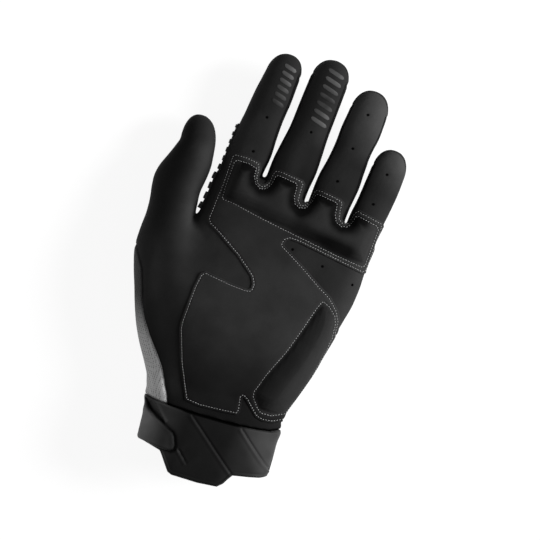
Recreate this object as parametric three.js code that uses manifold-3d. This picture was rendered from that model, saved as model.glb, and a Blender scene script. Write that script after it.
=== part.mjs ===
import * as THREE from 'three';
import Module from 'manifold-3d';

// Padded left-hand riding glove, lying on its back with the palm up.
// Millimetres. X runs to the little finger, Y to the fingertips, Z up out of the palm.

const wasm = await Module();
wasm.setup();

// Clearances
const seamGap = 0.3;
const layerGap = 0.3;

// Layer thicknesses
const skinThickness = 1.4;
const overlayThickness = 0.9;
const cuffThickness = 2.2;
const strapThickness = 1.8;
const patchThickness = 0.6;
const guardThickness = 1.1;
const ribStripThickness = 0.6;
const gripPrintThickness = 0.4;

// Rises above a layer
const baseFoamRise = 2.8;
const heelFoamRise = 3.2;
const cuffRibRise = 0.7;
const sideRibRise = 1.2;

// How far a pad climbs in from its border before it is full height
const baseFoamRamp = 7;
const heelFoamRamp = 9;
const knuckleRamp = 7;

// How far from the seam line the foam and the knuckle guard end
const foamRim = 1;
const guardRim = 0.9;

// Heights of the seam line, the back surface and the palm surface along the hand: [y, z]
const seamHeights = [
  [-46, 22], [0, 21.5], [50, 20], [90, 17.5], [120, 14.8], [150, 14.6], [180, 16.6], [205, 19.5],
];
const backHeights = [[-46, 4.3], [0, 4.3], [20, 3.9], [60, 3.6], [100, 2.9], [125, 2.9]];
const palmHeights = [[-46, 35], [0, 36], [20, 38], [45, 38.5], [80, 34.5], [100, 31], [125, 27.5]];

// Left and right edges of the hand without its digits: [y, left, right]
const palmRows = [
  [-46, -27, 34.5], [-30, -28.2, 36.2], [-20, -29.3, 36.8], [-10, -31, 36.2], [-3, -35.8, 35.6],
  [4, -39.2, 36.2], [12, -41.5, 36.9], [22, -44, 39.6], [35, -46, 43.2], [50, -47, 46],
  [65, -46.8, 48.4], [80, -46, 51], [92, -45, 51.8], [104, -42.6, 51.5], [117, -42, 51.8],
];
const palmEndLength = 8;
const palmMiddle = 4.6;
const palmSlantStart = 60;
const palmSlantShare = -0.09;

// Digits: edges of the tube, tip, knuckle where it bends, end of its side strips, axis lean
const digits = {
  thumb: {
    rows: [
      [8, -40.5, -20], [15, -45, -18], [22, -49.8, -18], [31, -55, -20], [41, -59.5, -22],
      [50, -63, -25], [60, -67, -29], [70, -70.1, -33], [80, -70.7, -38], [90, -70.6, -43],
      [97, -71.3, -45], [104, -72.7, -46.4], [110, -73.5, -47], [116, -72.6, -46.4],
      [124, -69.7, -46.1], [133, -66.8, -47.4],
    ],
    halfHeights: [[8, 8], [20, 12], [50, 15.5], [80, 14], [100, 12.2], [116, 11.2], [133, 9.4]],
    tip: [-59.5, 149.2],
    bendAt: 120,
    lean: 0,
  },
  index: {
    rows: [
      [98, -41.6, -19], [112, -41.5, -18.8], [130, -40.6, -18.6], [140, -40.3, -17.6],
      [150, -39.9, -18], [160, -38.7, -18.1], [171, -37.9, -17.4], [183, -36.2, -17.3],
    ],
    tip: [-26, 196],
    bendAt: 153,
    lean: 3.3,
    sideEnd: 186,
  },
  middle: {
    rows: [
      [98, -16.5, 7.5], [112, -16.3, 7.5], [130, -16.1, 7.5], [140, -15.9, 8.4],
      [150, -14.7, 8.2], [160, -13.4, 7.8], [174, -12.9, 8], [188, -12.3, 8.2],
    ],
    tip: [-1.6, 201.2],
    bendAt: 156,
    lean: 3.3,
    sideEnd: 191,
  },
  ring: {
    rows: [
      [98, 9.8, 31.5], [112, 9.7, 31.6], [128, 9.8, 31.8], [140, 10.2, 32.9],
      [150, 11.8, 32.7], [160, 12.7, 32.9], [169, 12.8, 33.8], [178, 13.6, 34],
    ],
    tip: [24, 193],
    bendAt: 151,
    lean: 3.3,
    sideEnd: 182,
  },
  little: {
    rows: [
      [98, 33.2, 50.9], [110, 33.2, 51], [125, 33.3, 52], [135, 34.4, 53.1],
      [144, 34.9, 53.4], [153, 35.5, 53.7],
    ],
    tip: [44.7, 166.6],
    bendAt: 143,
    lean: 3.3,
    sideEnd: 156,
  },
};
const fingerNames = ['index', 'middle', 'ring', 'little'];
const fingerHeightShare = 0.9;
const domeShares = [0.3, 0.57, 0.79, 0.93];
const domeRoundness = 2.3;
const domeTipShare = 0.02;
const palmRoundness = 2.7;
const digitRoundness = 2.2;
const corridorMargin = 1;

// Outlines in plan, seen on the palm: [x, y]
const palmOverlayStitch = [
  [-15.5, 2.6], [-8, 2.1], [4, 3.4], [12, 4.6], [12.6, 5.8], [11.2, 13.6], [12.4, 15], [15, 13.8],
  [19, 10.2], [23, 6.8], [26.5, 6.1], [31.5, 7], [38, 10.3], [60, 20], [60, 62], [47.6, 62],
  [46.8, 69], [44, 74], [38, 79.4], [30, 83.4], [18, 90.2], [4.8, 96.9], [3.9, 98.6], [4.8, 101.3],
  [7.3, 103], [13, 103], [50, 99], [60, 98.4], [60, 126.2], [50.5, 126.8], [37, 128.7],
  [35.6, 127.5], [34.4, 122.3], [33.2, 120.3], [31, 119.8], [28.5, 121.3], [27.4, 126], [27, 130],
  [25, 131], [14, 132.3], [11.4, 131.6], [10.8, 125], [8.5, 121.6], [6, 121.2], [4.2, 123.5],
  [3.8, 128], [3.6, 132.4], [2.5, 133.5], [-9, 134.6], [-12, 134.2], [-13, 132], [-13.3, 127.5],
  [-14.6, 124.6], [-17, 123.5], [-19.6, 124.6], [-21, 127.5], [-21.4, 132], [-22.6, 134.6],
  [-29, 135.4], [-35.4, 135], [-36.8, 133.5], [-36.5, 118], [-37.3, 98], [-36, 95.8], [-30, 93],
  [-16, 85], [-5, 77], [-2.6, 73], [-2.4, 70], [-3.6, 68.3], [-6, 67.9], [-14, 68], [-29, 69.4],
  [-30.6, 68], [-31.6, 60], [-31.6, 40], [-31, 36.8], [-24.5, 20],
];
const overlayHem = 1.2;
const baseFoamOutline = [
  [-34.5, 110.2], [-28, 109.9], [-12, 107.5], [8, 105.2], [35, 102.2], [49, 101.3], [60, 102.5],
  [60, 123.5], [49, 124.8], [38, 126.4], [36.7, 125.8], [36, 122.5], [34.3, 119], [31, 118],
  [27.6, 119.3], [25.8, 122.5], [24.8, 128.4], [24, 129.3], [13.5, 130.2], [12.2, 129.3],
  [11.8, 125.5], [9.5, 120.8], [6.5, 119.7], [3.2, 121], [1.6, 124.5], [1.2, 130], [0.5, 131.6],
  [-10, 132.4], [-11.3, 131.8], [-12, 127], [-13.8, 123.3], [-17, 122.2], [-20.5, 124],
  [-22.4, 127.5], [-22.8, 131.9], [-27, 132.9], [-34, 132.6], [-35, 131], [-35, 118],
];
const heelFoamOutline = [
  [36, 76.7], [40, 75], [44, 71.5], [45.8, 68], [46.6, 60], [60, 60], [60, 22], [36, 12], [30, 9.4],
  [24.8, 9], [22, 10.5], [17.7, 15.8], [17.2, 18.5], [20.5, 30], [26, 44], [29.2, 55], [33.5, 72],
  [35, 76],
];
const gussetOutline = [
  [-90, 80], [-70.5, 72], [-65.5, 65], [-62, 60], [-58, 50], [-55.5, 42], [-52, 35.5], [-46, 27.5],
  [-40, 21], [-34.5, 14.5], [-30.5, 8], [-26.5, 1], [-24.5, -4], [-23, -9], [-90, -9],
];
const thumbBackOutline = [
  [-90, 40], [-60, 46], [-51, 58], [-47.5, 74], [-45.6, 90], [-45.2, 99], [-44.8, 103], [-44.8, 160],
  [-90, 160],
];
const cuffPalmOutline = [
  [-50, -1], [-37, -2.6], [-30, -3.6], [-23, -4], [-10, -3.6], [5, -2.6], [15, -1.7], [25, -0.2],
  [32, 1.3], [36.5, 3.8], [50, 5], [50, -19.6], [39.6, -20.6], [37.4, -22.8], [34.6, -24.4], [30, -25.8],
  [21.7, -27.9], [20.4, -30], [18.4, -33.8], [15.8, -36.4], [5, -38], [-9.5, -38.7], [-12, -37.8],
  [-14.5, -34.8], [-19.6, -28.5], [-24, -27.6], [-30, -26.5], [-32.4, -25.3], [-34.4, -22.8], [-50, -21.5],
];
const cuffBackOutline = [
  [-50, -1], [-37, -2.6], [-20, -3], [5, -2], [25, 0.6], [36.5, 3.8], [50, 5], [50, -19.6], [39.6, -20.6],
  [37.4, -22.8], [34.6, -24.4], [30, -25.8], [-22, -27], [-30, -26.5], [-32.4, -25.3], [-34.4, -22.8],
  [-50, -21.5],
];
const loopPatchOutline = [[-29, -12], [-19, -17.5], [-16.5, -19], [-15, -24], [-29, -23.5]];
const hookPatchOutline = [[-26, -14], [-18.5, -17.8], [-16.8, -19.4], [-15.6, -23.4], [-26, -23]];
const strapOutline = [
  [-60, -3.4], [-37, -4.6], [-34, -7.8], [-29.5, -10.8], [-22, -14.5], [-16.4, -16.8],
  [-14.2, -18.6], [-12.4, -23], [-12.3, -25.4], [-13.6, -26.8], [-21, -27.2], [-31.2, -25.9],
  [-34.2, -23.2], [-60, -20.4],
];
const strapAnchorOutline = [
  [-60, -5.6], [-37, -5.6], [4, -6], [7.5, -7.4], [9, -10.5], [9, -15], [7.5, -18.4], [4, -20], [-60, -21],
];
const knuckleGuardOutline = [
  [-36.6, 100.5], [-35.4, 98.4], [-32, 97], [-12, 94.8], [16, 94.6], [42, 96.2], [45.6, 97.6],
  [47.2, 100], [47.4, 109], [46, 112], [42.5, 113.6], [33, 114], [29.5, 116.6], [26, 118.2],
  [11, 118.4], [7.4, 119.8], [4, 120.8], [-10, 121], [-14, 119.6], [-18, 118.8], [-32, 118.6],
  [-35.4, 117.2], [-36.6, 114.4],
];

// Rubber domes over the knuckles: their centres and their rises above the guard
const knuckleCentres = [[-25.5, 107.8], [-4, 109.2], [18, 107], [37, 104.6]];
const knuckleRises = [3.4, 2, 2, 3.6];

const knuckleDomeRadius = 10;

// Edges and strips
const skinStart = -9;
const backSleeveLength = 34;
const knuckleSeamSlantShare = -0.06;
const sideStripHalfWidth = 4.5;
const sideStripStart = 112;
const strapHingeDrop = 9;
const strapClimb = { from: -36, to: -28 };

// Raised moulded lines of the cuff: [x0, y0, x1, y1]
const cuffRibs = [
  [-10.2, -5, 20.4, -28], [17.1, -2.8, 38.7, -20.3], [-31.9, -4.2, -27.6, -8.4], [-10.7, -24.8, -4.2, -30.4],
];
const cuffRibWidth = 1.6;

// Rubber ribs on the thumb side of the index finger
const sideRibs = {
  first: 101.2, pitch: 6.1, lastPitch: 4.6, count: 10, length: 4, shortest: 1.9, below: 3.4,
};
const ribStrip = { margin: 0.7, below: 6, above: 2.5 };

// Silicone lines printed across two fingertips: x range, first y, pitch, count
const gripPrints = {
  index: { from: -27.6, to: -20, first: 166.1, pitch: 4.5, count: 6 },
  middle: { from: -4.6, to: 5, first: 165.2, pitch: 4.6, count: 7 },
};
const gripPrintWidth = 2.2;
const gripPrintSlantShare = -0.22;

// Air holes: [x, y]
const ventCentres = [
  [10.6, 97.5], [28.8, 94.4], [47.4, 90.6], [-26.7, 159.7], [-27.3, 140], [-1.7, 160.3],
  [24, 179.5], [22.5, 159.7], [20.8, 140.3], [44.7, 152.8], [43.2, 135.3],
];
const ventDiameter = 1.6;
const ventSides = 8;

// Reach of the cutting bodies, larger than the glove, and how far the smaller ones overrun a piece
const cutReach = 150;
const cutOverrun = 15;
const groundHeight = 0;

// Spacing of the rows that follow the seam line and the borders between the fingers
const seamStep = 12;
const borderStep = 8;

// Value of a table [place, value] at a place, on a smooth curve through its rows
function valueAt(table, place, column = 1) {
  const last = table.length - 1;
  let row = 0;
  while (row < last - 1 && table[row + 1][0] < place) row += 1;
  const slope = (k) => {
    const before = table[Math.max(k - 1, 0)];
    const after = table[Math.min(k + 1, last)];
    return (after[column] - before[column]) / (after[0] - before[0]);
  };
  const a = table[row];
  const b = table[row + 1];
  const span = b[0] - a[0];
  const t = THREE.MathUtils.clamp((place - a[0]) / span, 0, 1);
  const rest = 1 - t;
  return (1 + 2 * t) * rest * rest * a[column] + t * rest * rest * span * slope(row)
    + t * t * (3 - 2 * t) * b[column] - t * t * rest * span * slope(row + 1);
}

const seamHeight = (y) => valueAt(seamHeights, y);

// Closed body and mesh conversions
function solidOf(geometry) {
  const position = geometry.getAttribute('position');
  const welded = new Map();
  const vertices = [];
  const indexOf = (k) => {
    const point = new THREE.Vector3().fromBufferAttribute(position, k);
    const key = point.toArray().map((value) => value.toFixed(5)).join(',');
    if (!welded.has(key)) {
      welded.set(key, vertices.length / 3);
      vertices.push(...point.toArray());
    }
    return welded.get(key);
  };
  const count = geometry.index ? geometry.index.count : position.count;
  const triangles = [];
  for (let k = 0; k < count; k += 3) {
    const corners = [k, k + 1, k + 2].map((corner) => (
      indexOf(geometry.index ? geometry.index.getX(corner) : corner)
    ));
    if (new Set(corners).size === 3) triangles.push(...corners);
  }
  return new wasm.Manifold(new wasm.Mesh({
    numProp: 3,
    vertProperties: Float32Array.from(vertices),
    triVerts: Uint32Array.from(triangles),
  }));
}

function geometryOf(solid) {
  const mesh = solid.getMesh();
  const geometry = new THREE.BufferGeometry();
  geometry.setAttribute('position', new THREE.BufferAttribute(Float32Array.from(mesh.vertProperties), 3));
  geometry.setIndex(new THREE.BufferAttribute(Uint32Array.from(mesh.triVerts), 1));
  const flat = geometry.toNonIndexed();
  flat.computeVertexNormals();
  return flat;
}

const join = (solids) => solids.reduce((whole, solid) => whole.add(solid));
const meet = (...solids) => solids.reduce((whole, solid) => whole.intersect(solid));
const cut = (solid, ...tools) => tools.reduce((whole, tool) => whole.subtract(tool), solid);

// Closed skin over a stack of rings
function loft(rings) {
  const sides = rings[0].length;
  const positions = rings.flat().flatMap((point) => point.toArray());
  const triangles = [];
  rings.slice(1).forEach((_, k) => {
    for (let side = 0; side < sides; side += 1) {
      const next = (side + 1) % sides;
      const [a, b] = [k * sides + side, k * sides + next];
      triangles.push(a, b, b + sides, a, b + sides, a + sides);
    }
  });
  [rings[0], rings[rings.length - 1]].forEach((ring, end) => {
    const centre = positions.length / 3;
    const middle = ring.reduce((sum, point) => sum.add(point), new THREE.Vector3()).divideScalar(sides);
    positions.push(...middle.toArray());
    const base = end * (rings.length - 1) * sides;
    for (let side = 0; side < sides; side += 1) {
      const next = (side + 1) % sides;
      triangles.push(...(end ? [base + side, base + next, centre] : [base + next, base + side, centre]));
    }
  });
  const geometry = new THREE.BufferGeometry();
  geometry.setAttribute('position', new THREE.Float32BufferAttribute(positions, 3));
  geometry.setIndex(triangles);
  return solidOf(geometry);
}

// One ring of a tube: half width, palm and back half heights, rounded off by a power
function ringAt({ y, centre, halfWidth, palmHalf, backHalf, roundness, slant, sides }, offset, swell) {
  const middleZ = seamHeight(y);
  return Array.from({ length: sides }, (_, side) => {
    const angle = (2 * Math.PI * side) / sides;
    const [c, s] = [-Math.cos(angle), Math.sin(angle)];
    const halfHeight = s >= 0 ? palmHalf : backHalf;
    const power = 2 / roundness;
    const across = halfWidth * Math.sign(c) * Math.abs(c) ** power;
    const up = halfHeight * Math.sign(s) * Math.abs(s) ** power;
    const normal = new THREE.Vector2(
      Math.sign(c) * Math.abs(c) ** (2 - power) / halfWidth,
      Math.sign(s) * Math.abs(s) ** (2 - power) / halfHeight,
    ).normalize();
    const shiftedY = y + slant * (centre + across - palmMiddle);
    const out = offset + swell(centre + across, shiftedY, normal.y);
    return new THREE.Vector3(centre + across + out * normal.x, shiftedY, middleZ + up + out * normal.y);
  });
}

// A tube with a domed end, at an offset from its nominal surface
function tube({ rings, domeLength, domeCentre }, offset, swell) {
  const body = rings.map((ring) => ringAt(ring, offset, swell));
  const last = body[body.length - 1];
  const lastRing = rings[rings.length - 1];
  const middle = new THREE.Vector3(lastRing.centre, lastRing.y, seamHeight(lastRing.y));
  const end = new THREE.Vector3(domeCentre, lastRing.y + domeLength + offset, 0);
  end.z = seamHeight(end.y);
  const dome = [...domeShares, 1].map((along) => {
    const scale = Math.max((1 - along ** domeRoundness) ** (1 / domeRoundness), domeTipShare);
    const drift = new THREE.Vector3().subVectors(end, middle).multiplyScalar(along);
    return last.map((point) => {
      const arm = new THREE.Vector3().subVectors(point, middle);
      return new THREE.Vector3(
        middle.x + drift.x + arm.x * scale,
        point.y + drift.y,
        middle.z + drift.z + arm.z * scale,
      );
    });
  });
  return loft([...body, ...dome]);
}

// Rows of a table, with further rows put between them where they are farther apart than a step
function rowPlaces(rows, step) {
  return rows.slice(1).reduce((places, [y], k) => {
    const start = rows[k][0];
    const parts = Math.max(1, Math.ceil((y - start) / step));
    for (let part = 1; part <= parts; part += 1) places.push(start + ((y - start) * part) / parts);
    return places;
  }, [rows[0][0]]);
}

const coarse = { step: cutReach, palmSides: 30, digitSides: 14 };
const fine = { step: 8.5, palmSides: 30, digitSides: 14 };
const domed = { step: 4, palmSides: 60, digitSides: 14 };
const inside = { step: cutReach, palmSides: 16, digitSides: 10 };
const noSwell = () => 0;

function palmBody(offset, quality = coarse, swell = noSwell) {
  const rings = rowPlaces(palmRows, quality.step).map((y) => {
    const [left, right] = [valueAt(palmRows, y, 1), valueAt(palmRows, y, 2)];
    const slantShare = THREE.MathUtils.smoothstep(y, palmSlantStart, palmRows[palmRows.length - 1][0]);
    return {
      y,
      centre: (left + right) / 2,
      halfWidth: (right - left) / 2,
      palmHalf: valueAt(palmHeights, y) - seamHeight(y),
      backHalf: seamHeight(y) - valueAt(backHeights, y),
      roundness: palmRoundness,
      slant: palmSlantShare * slantShare,
      sides: quality.palmSides,
    };
  });
  return tube({ rings, domeLength: palmEndLength, domeCentre: palmMiddle }, offset, swell);
}

function digitBody(name, offset, quality = coarse, swell = noSwell) {
  const { rows, tip, halfHeights } = digits[name];
  const rings = rowPlaces(rows, quality.step).map((y) => {
    const [left, right] = [valueAt(rows, y, 1), valueAt(rows, y, 2)];
    const halfWidth = (right - left) / 2;
    const halfHeight = halfHeights ? valueAt(halfHeights, y) : fingerHeightShare * halfWidth;
    return {
      y,
      centre: (left + right) / 2,
      halfWidth,
      palmHalf: halfHeight,
      backHalf: halfHeight,
      roundness: digitRoundness,
      slant: 0,
      sides: quality.digitSides,
    };
  });
  const domeLength = tip[1] - rows[rows.length - 1][0];
  return tube({ rings, domeLength, domeCentre: tip[0] }, offset, swell);
}

function handBody(offset, quality = coarse, swell = noSwell) {
  const parts = Object.keys(digits).map((name) => digitBody(name, offset, quality, swell));
  return join([palmBody(offset, quality, swell), ...parts]);
}

// Upright prism over an outline in plan
function prism(points, low = -cutReach, high = cutReach) {
  const shape = new THREE.Shape(points.map(([x, y]) => new THREE.Vector2(x, y)));
  const geometry = new THREE.ExtrudeGeometry(shape, { depth: high - low, bevelEnabled: false });
  geometry.translate(0, 0, low);
  return solidOf(geometry);
}

// Body between two heights measured from the seam line, over the whole width
function seamSlab(low, high) {
  const last = seamHeights[seamHeights.length - 1][0];
  const rows = [[-cutReach / 2], ...seamHeights.slice(1, -1), [last], [last + cutReach / 2]];
  const places = rowPlaces(rows, seamStep);
  const edge = (drop) => places.map((y) => new THREE.Vector2(y, seamHeight(y) + drop));
  const shape = new THREE.Shape([...edge(low), ...edge(high).reverse()]);
  const geometry = new THREE.ExtrudeGeometry(shape, { depth: 2 * cutReach, bevelEnabled: false });
  geometry.applyMatrix4(new THREE.Matrix4().makeBasis(
    new THREE.Vector3(0, 1, 0),
    new THREE.Vector3(0, 0, 1),
    new THREE.Vector3(1, 0, 0),
  ));
  geometry.translate(-cutReach, 0, 0);
  return solidOf(geometry);
}

// Outline moved outwards by a distance, its sharp corners drawn out no further than a limit
const cornerLimitShare = 0.6;
function grow(points, distance) {
  const area = THREE.ShapeUtils.area(points.map(([x, y]) => new THREE.Vector2(x, y)));
  const turn = Math.sign(area);
  return points.map(([x, y], k) => {
    const before = points[(k + points.length - 1) % points.length];
    const after = points[(k + 1) % points.length];
    const [a, b] = [[x - before[0], y - before[1]], [after[0] - x, after[1] - y]]
      .map(([dx, dy]) => new THREE.Vector2(dy, -dx).normalize().multiplyScalar(turn));
    const normal = a.clone().add(b).normalize();
    const stretch = distance / Math.max(normal.dot(a), cornerLimitShare);
    return [x + normal.x * stretch, y + normal.y * stretch];
  });
}

// Distance from a place to the border of an outline, zero outside it
function depthInside(points, x, y) {
  let inside = false;
  let nearest = Infinity;
  points.forEach(([x1, y1], k) => {
    const [x0, y0] = points[(k + points.length - 1) % points.length];
    if ((y0 > y) !== (y1 > y) && x < x0 + ((x1 - x0) * (y - y0)) / (y1 - y0)) inside = !inside;
    const [dx, dy] = [x1 - x0, y1 - y0];
    const along = THREE.MathUtils.clamp(((x - x0) * dx + (y - y0) * dy) / (dx * dx + dy * dy), 0, 1);
    nearest = Math.min(nearest, Math.hypot(x - x0 - along * dx, y - y0 - along * dy));
  });
  return inside ? nearest : 0;
}

// Rounded climb of a pad from zero at its border to one
const crown = (depth, ramp) => Math.sin((Math.PI / 2) * Math.min(depth / ramp, 1));

function padSwell(x, y, facing) {
  if (facing <= 0) return 0;
  const base = baseFoamRise * crown(depthInside(baseFoamOutline, x, y), baseFoamRamp);
  const heel = heelFoamRise * crown(depthInside(heelFoamOutline, x, y), heelFoamRamp);
  return (base + heel) * Math.min(2 * facing, 1);
}

function knuckleSwell(x, y, facing) {
  if (facing >= 0) return 0;
  return Math.max(...knuckleCentres.map(([centreX, centreY], k) => {
    const depth = knuckleDomeRadius - Math.hypot(x - centreX, y - centreY);
    return knuckleRises[k] * crown(Math.max(depth, 0), knuckleRamp);
  }));
}

const strapSwell = (x, y, facing) => (facing <= 0 ? 0
  : 2 * (patchThickness + layerGap) * THREE.MathUtils.smoothstep(x, strapClimb.from, strapClimb.to));

// Direction along a finger and the outline of the part beyond its knuckle, moved along the finger
function digitCentre(name, y) {
  const { rows } = digits[name];
  return (valueAt(rows, y, 1) + valueAt(rows, y, 2)) / 2;
}

function beyondKnuckle(name, shift) {
  const { rows, bendAt, lean, tip } = digits[name];
  const near = rows.filter(([y]) => y > bendAt - 2 * cutOverrun);
  const widest = Math.max(...near.map(([, left, right]) => right - left));
  const half = widest / 2 + corridorMargin;
  const angle = THREE.MathUtils.degToRad(lean);
  const along = new THREE.Vector2(Math.sin(angle), Math.cos(angle));
  const across = new THREE.Vector2(Math.cos(angle), -Math.sin(angle));
  const start = new THREE.Vector2(digitCentre(name, bendAt), bendAt);
  const corner = (side, reach) => [
    start.x + across.x * side * half + along.x * reach,
    start.y + across.y * side * half + along.y * reach,
  ];
  const length = tip[1] - bendAt + 2 * cutOverrun;
  return [corner(-1, shift), corner(1, shift), corner(1, length), corner(-1, length)];
}

// Zone in plan between two neighbouring fingers, from the middle of one to the middle of the other
function betweenFingers(first, second, shrink) {
  const [a, b] = [digits[first], digits[second]];
  const edge = (y) => (valueAt(a.rows, y, 2) + valueAt(b.rows, y, 1)) / 2;
  const low = sideStripStart + shrink;
  const [endA, endB] = [a.sideEnd - shrink, b.sideEnd - shrink];
  return [
    [digitCentre(first, low), low],
    [digitCentre(second, low), low],
    [digitCentre(second, endB), endB],
    [edge(endB), endB],
    [edge(endA), endA],
    [digitCentre(first, endA), endA],
  ];
}

// Shared bodies and cutters
const half = seamGap / 2;
const skin = cut(handBody(0), handBody(-skinThickness, inside));
const palmSide = seamSlab(half, cutReach);
const backSide = seamSlab(-cutReach, -half);
const aboveGround = prism([[-cutReach, -cutReach], [cutReach, -cutReach], [cutReach, 2 * cutReach],
  [-cutReach, 2 * cutReach]], groundHeight, cutReach);
const wholePlan = [
  [-cutReach, skinStart], [cutReach, skinStart], [cutReach, 2 * cutReach], [-cutReach, 2 * cutReach],
];

const neighbours = [['index', 'middle'], ['middle', 'ring'], ['ring', 'little']];
const sideZone = (first, second, shrink) => meet(
  prism(betweenFingers(first, second, shrink)),
  seamSlab(-sideStripHalfWidth + shrink, sideStripHalfWidth - shrink),
);
const sideChannels = join(neighbours.map(([first, second]) => sideZone(first, second, -half)));
const tipZone = (name) => prism(beyondKnuckle(name, half));
const tipCuts = join(Object.keys(digits).map((name) => prism(beyondKnuckle(name, -half))));

const gussetZone = prism(gussetOutline);
const gussetCut = prism(grow(gussetOutline, seamGap));
const thumbBackZone = prism(thumbBackOutline);
const thumbBackCut = prism(grow(thumbBackOutline, seamGap));
const knuckleSeam = digits.middle.bendAt - backSleeveLength;
const knuckleLine = (shift) => [
  [-cutReach, knuckleSeam - knuckleSeamSlantShare * cutReach + shift],
  [cutReach, knuckleSeam + knuckleSeamSlantShare * cutReach + shift],
];
const fingerBackZone = prism([...knuckleLine(half), [cutReach, 2 * cutReach], [-cutReach, 2 * cutReach]]);
const fingerBackCut = prism([...knuckleLine(-half), [cutReach, 2 * cutReach], [-cutReach, 2 * cutReach]]);

const vents = join(ventCentres.map(([x, y]) => {
  const geometry = new THREE.CylinderGeometry(ventDiameter / 2, ventDiameter / 2, cutReach, ventSides);
  geometry.rotateX(Math.PI / 2);
  geometry.translate(x, y, seamHeight(y) + cutReach / 2);
  return solidOf(geometry);
}));

const nodes = [];
const node = (name, solid, colour, roughness) => nodes.push({ name, solid, colour, roughness });
const leather = 0x26272a;
const knit = 0x2d2e31;
const mesh = 0x8e9092;
const rubber = 0x141416;
const neoprene = 0x3a3b3e;
const foam = 0xb9b4a6;
const silicone = 0x55565a;

// Palm and back of the hand
node('palm_panel', cut(
  meet(skin, palmSide, prism(wholePlan)), gussetCut, sideChannels, tipCuts, vents,
), leather, 0.6);
node('back_panel', cut(
  meet(skin, backSide, prism(wholePlan)), gussetCut, thumbBackCut, fingerBackCut, sideChannels,
), knit, 0.85);
node('wrist_gusset', meet(skin, gussetZone), mesh, 0.8);
node('thumb_back_panel', cut(meet(skin, backSide, thumbBackZone), gussetCut, tipCuts), knit, 0.85);

// Backs of the fingers and the side strips between them, up to the knuckles that bend
const fingerCorridor = (name) => {
  const k = fingerNames.indexOf(name);
  const borderX = (a, b, y) => (valueAt(digits[a].rows, y, 2) + valueAt(digits[b].rows, y, 1)) / 2;
  const places = rowPlaces([[sideStripStart], [cutReach]], borderStep);
  const left = places.map((y) => [k ? borderX(fingerNames[k - 1], name, y) + half : -cutReach, y]);
  const right = places.map((y) => [k < 3 ? borderX(name, fingerNames[k + 1], y) - half : cutReach, y]);
  const top = 2 * cutReach;
  const [lastLeft, lastRight] = [left[left.length - 1][0], right[right.length - 1][0]];
  return prism([...left, [lastLeft, top], [lastRight, top], ...right.reverse()]);
};
fingerNames.forEach((name) => {
  const back = cut(
    meet(skin, backSide, fingerBackZone, fingerCorridor(name)), sideChannels, tipCuts, thumbBackCut,
  );
  node(`${name}_back_panel`, back, knit, 0.85);
});
neighbours.forEach(([first, second]) => {
  node(`${first}_${second}_side_strip`, cut(meet(skin, sideZone(first, second, half)), tipCuts), knit, 0.85);
});

// Pads and the overlay that holds them to the palm
const overlayInner = handBody(layerGap, fine, padSwell);
const overlayOuter = handBody(layerGap + overlayThickness, fine, padSwell);
const overlayZone = prism(grow(palmOverlayStitch, overlayHem));
const overlay = cut(meet(cut(overlayOuter, overlayInner), palmSide, overlayZone), sideChannels);
node('palm_overlay', overlay, leather, 0.5);
const foamLayer = cut(handBody(0, fine, padSwell), handBody(layerGap, fine));
const foamBody = meet(foamLayer, seamSlab(foamRim, cutReach));
node('finger_base_foam', meet(foamBody, prism(baseFoamOutline)), foam, 0.95);
node('heel_foam', meet(foamBody, prism(heelFoamOutline)), foam, 0.95);

// Rubber guard over the knuckles and ribs along the index finger
const guardBody = cut(
  handBody(layerGap + guardThickness, domed, knuckleSwell), handBody(layerGap, fine),
);
node('knuckle_guard', meet(
  guardBody, seamSlab(-cutReach, -guardRim), prism(knuckleGuardOutline), aboveGround,
), rubber, 0.55);

const indexLeft = (y) => Math.min(
  valueAt(digits.index.rows, y, 1), y < palmRows.at(-1)[0] ? valueAt(palmRows, y, 1) : 0,
);
const alongIndex = (from, to) => prism([
  [indexLeft(from) - cutOverrun, from], [digitCentre('index', from), from],
  [digitCentre('index', to), to], [indexLeft(to) - cutOverrun, to],
]);
const ribStart = (k) => {
  const closing = (sideRibs.pitch - sideRibs.lastPitch) / (sideRibs.count - 2);
  return sideRibs.first + k * sideRibs.pitch - closing * k * (k - 1) / 2;
};
const ribsEnd = ribStart(sideRibs.count - 1) + sideRibs.shortest;
const indexSide = (offset) => join([palmBody(offset), digitBody('index', offset)]);
const stripLayer = (thickness) => cut(indexSide(layerGap + thickness), indexSide(layerGap));
const stripBase = meet(
  stripLayer(ribStripThickness), seamSlab(-ribStrip.below, ribStrip.above),
  alongIndex(sideRibs.first - ribStrip.margin, ribsEnd + ribStrip.margin),
);
const ribLayer = meet(stripLayer(ribStripThickness + sideRibRise), seamSlab(-sideRibs.below, ribStrip.above));
const ribBodies = Array.from({ length: sideRibs.count }, (_, k) => {
  const along = k / (sideRibs.count - 1);
  const length = THREE.MathUtils.lerp(sideRibs.length, sideRibs.shortest, along);
  return meet(ribLayer, alongIndex(ribStart(k), ribStart(k) + length));
});
node('index_rib_strip', join([stripBase, ...ribBodies]), rubber, 0.5);

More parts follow.
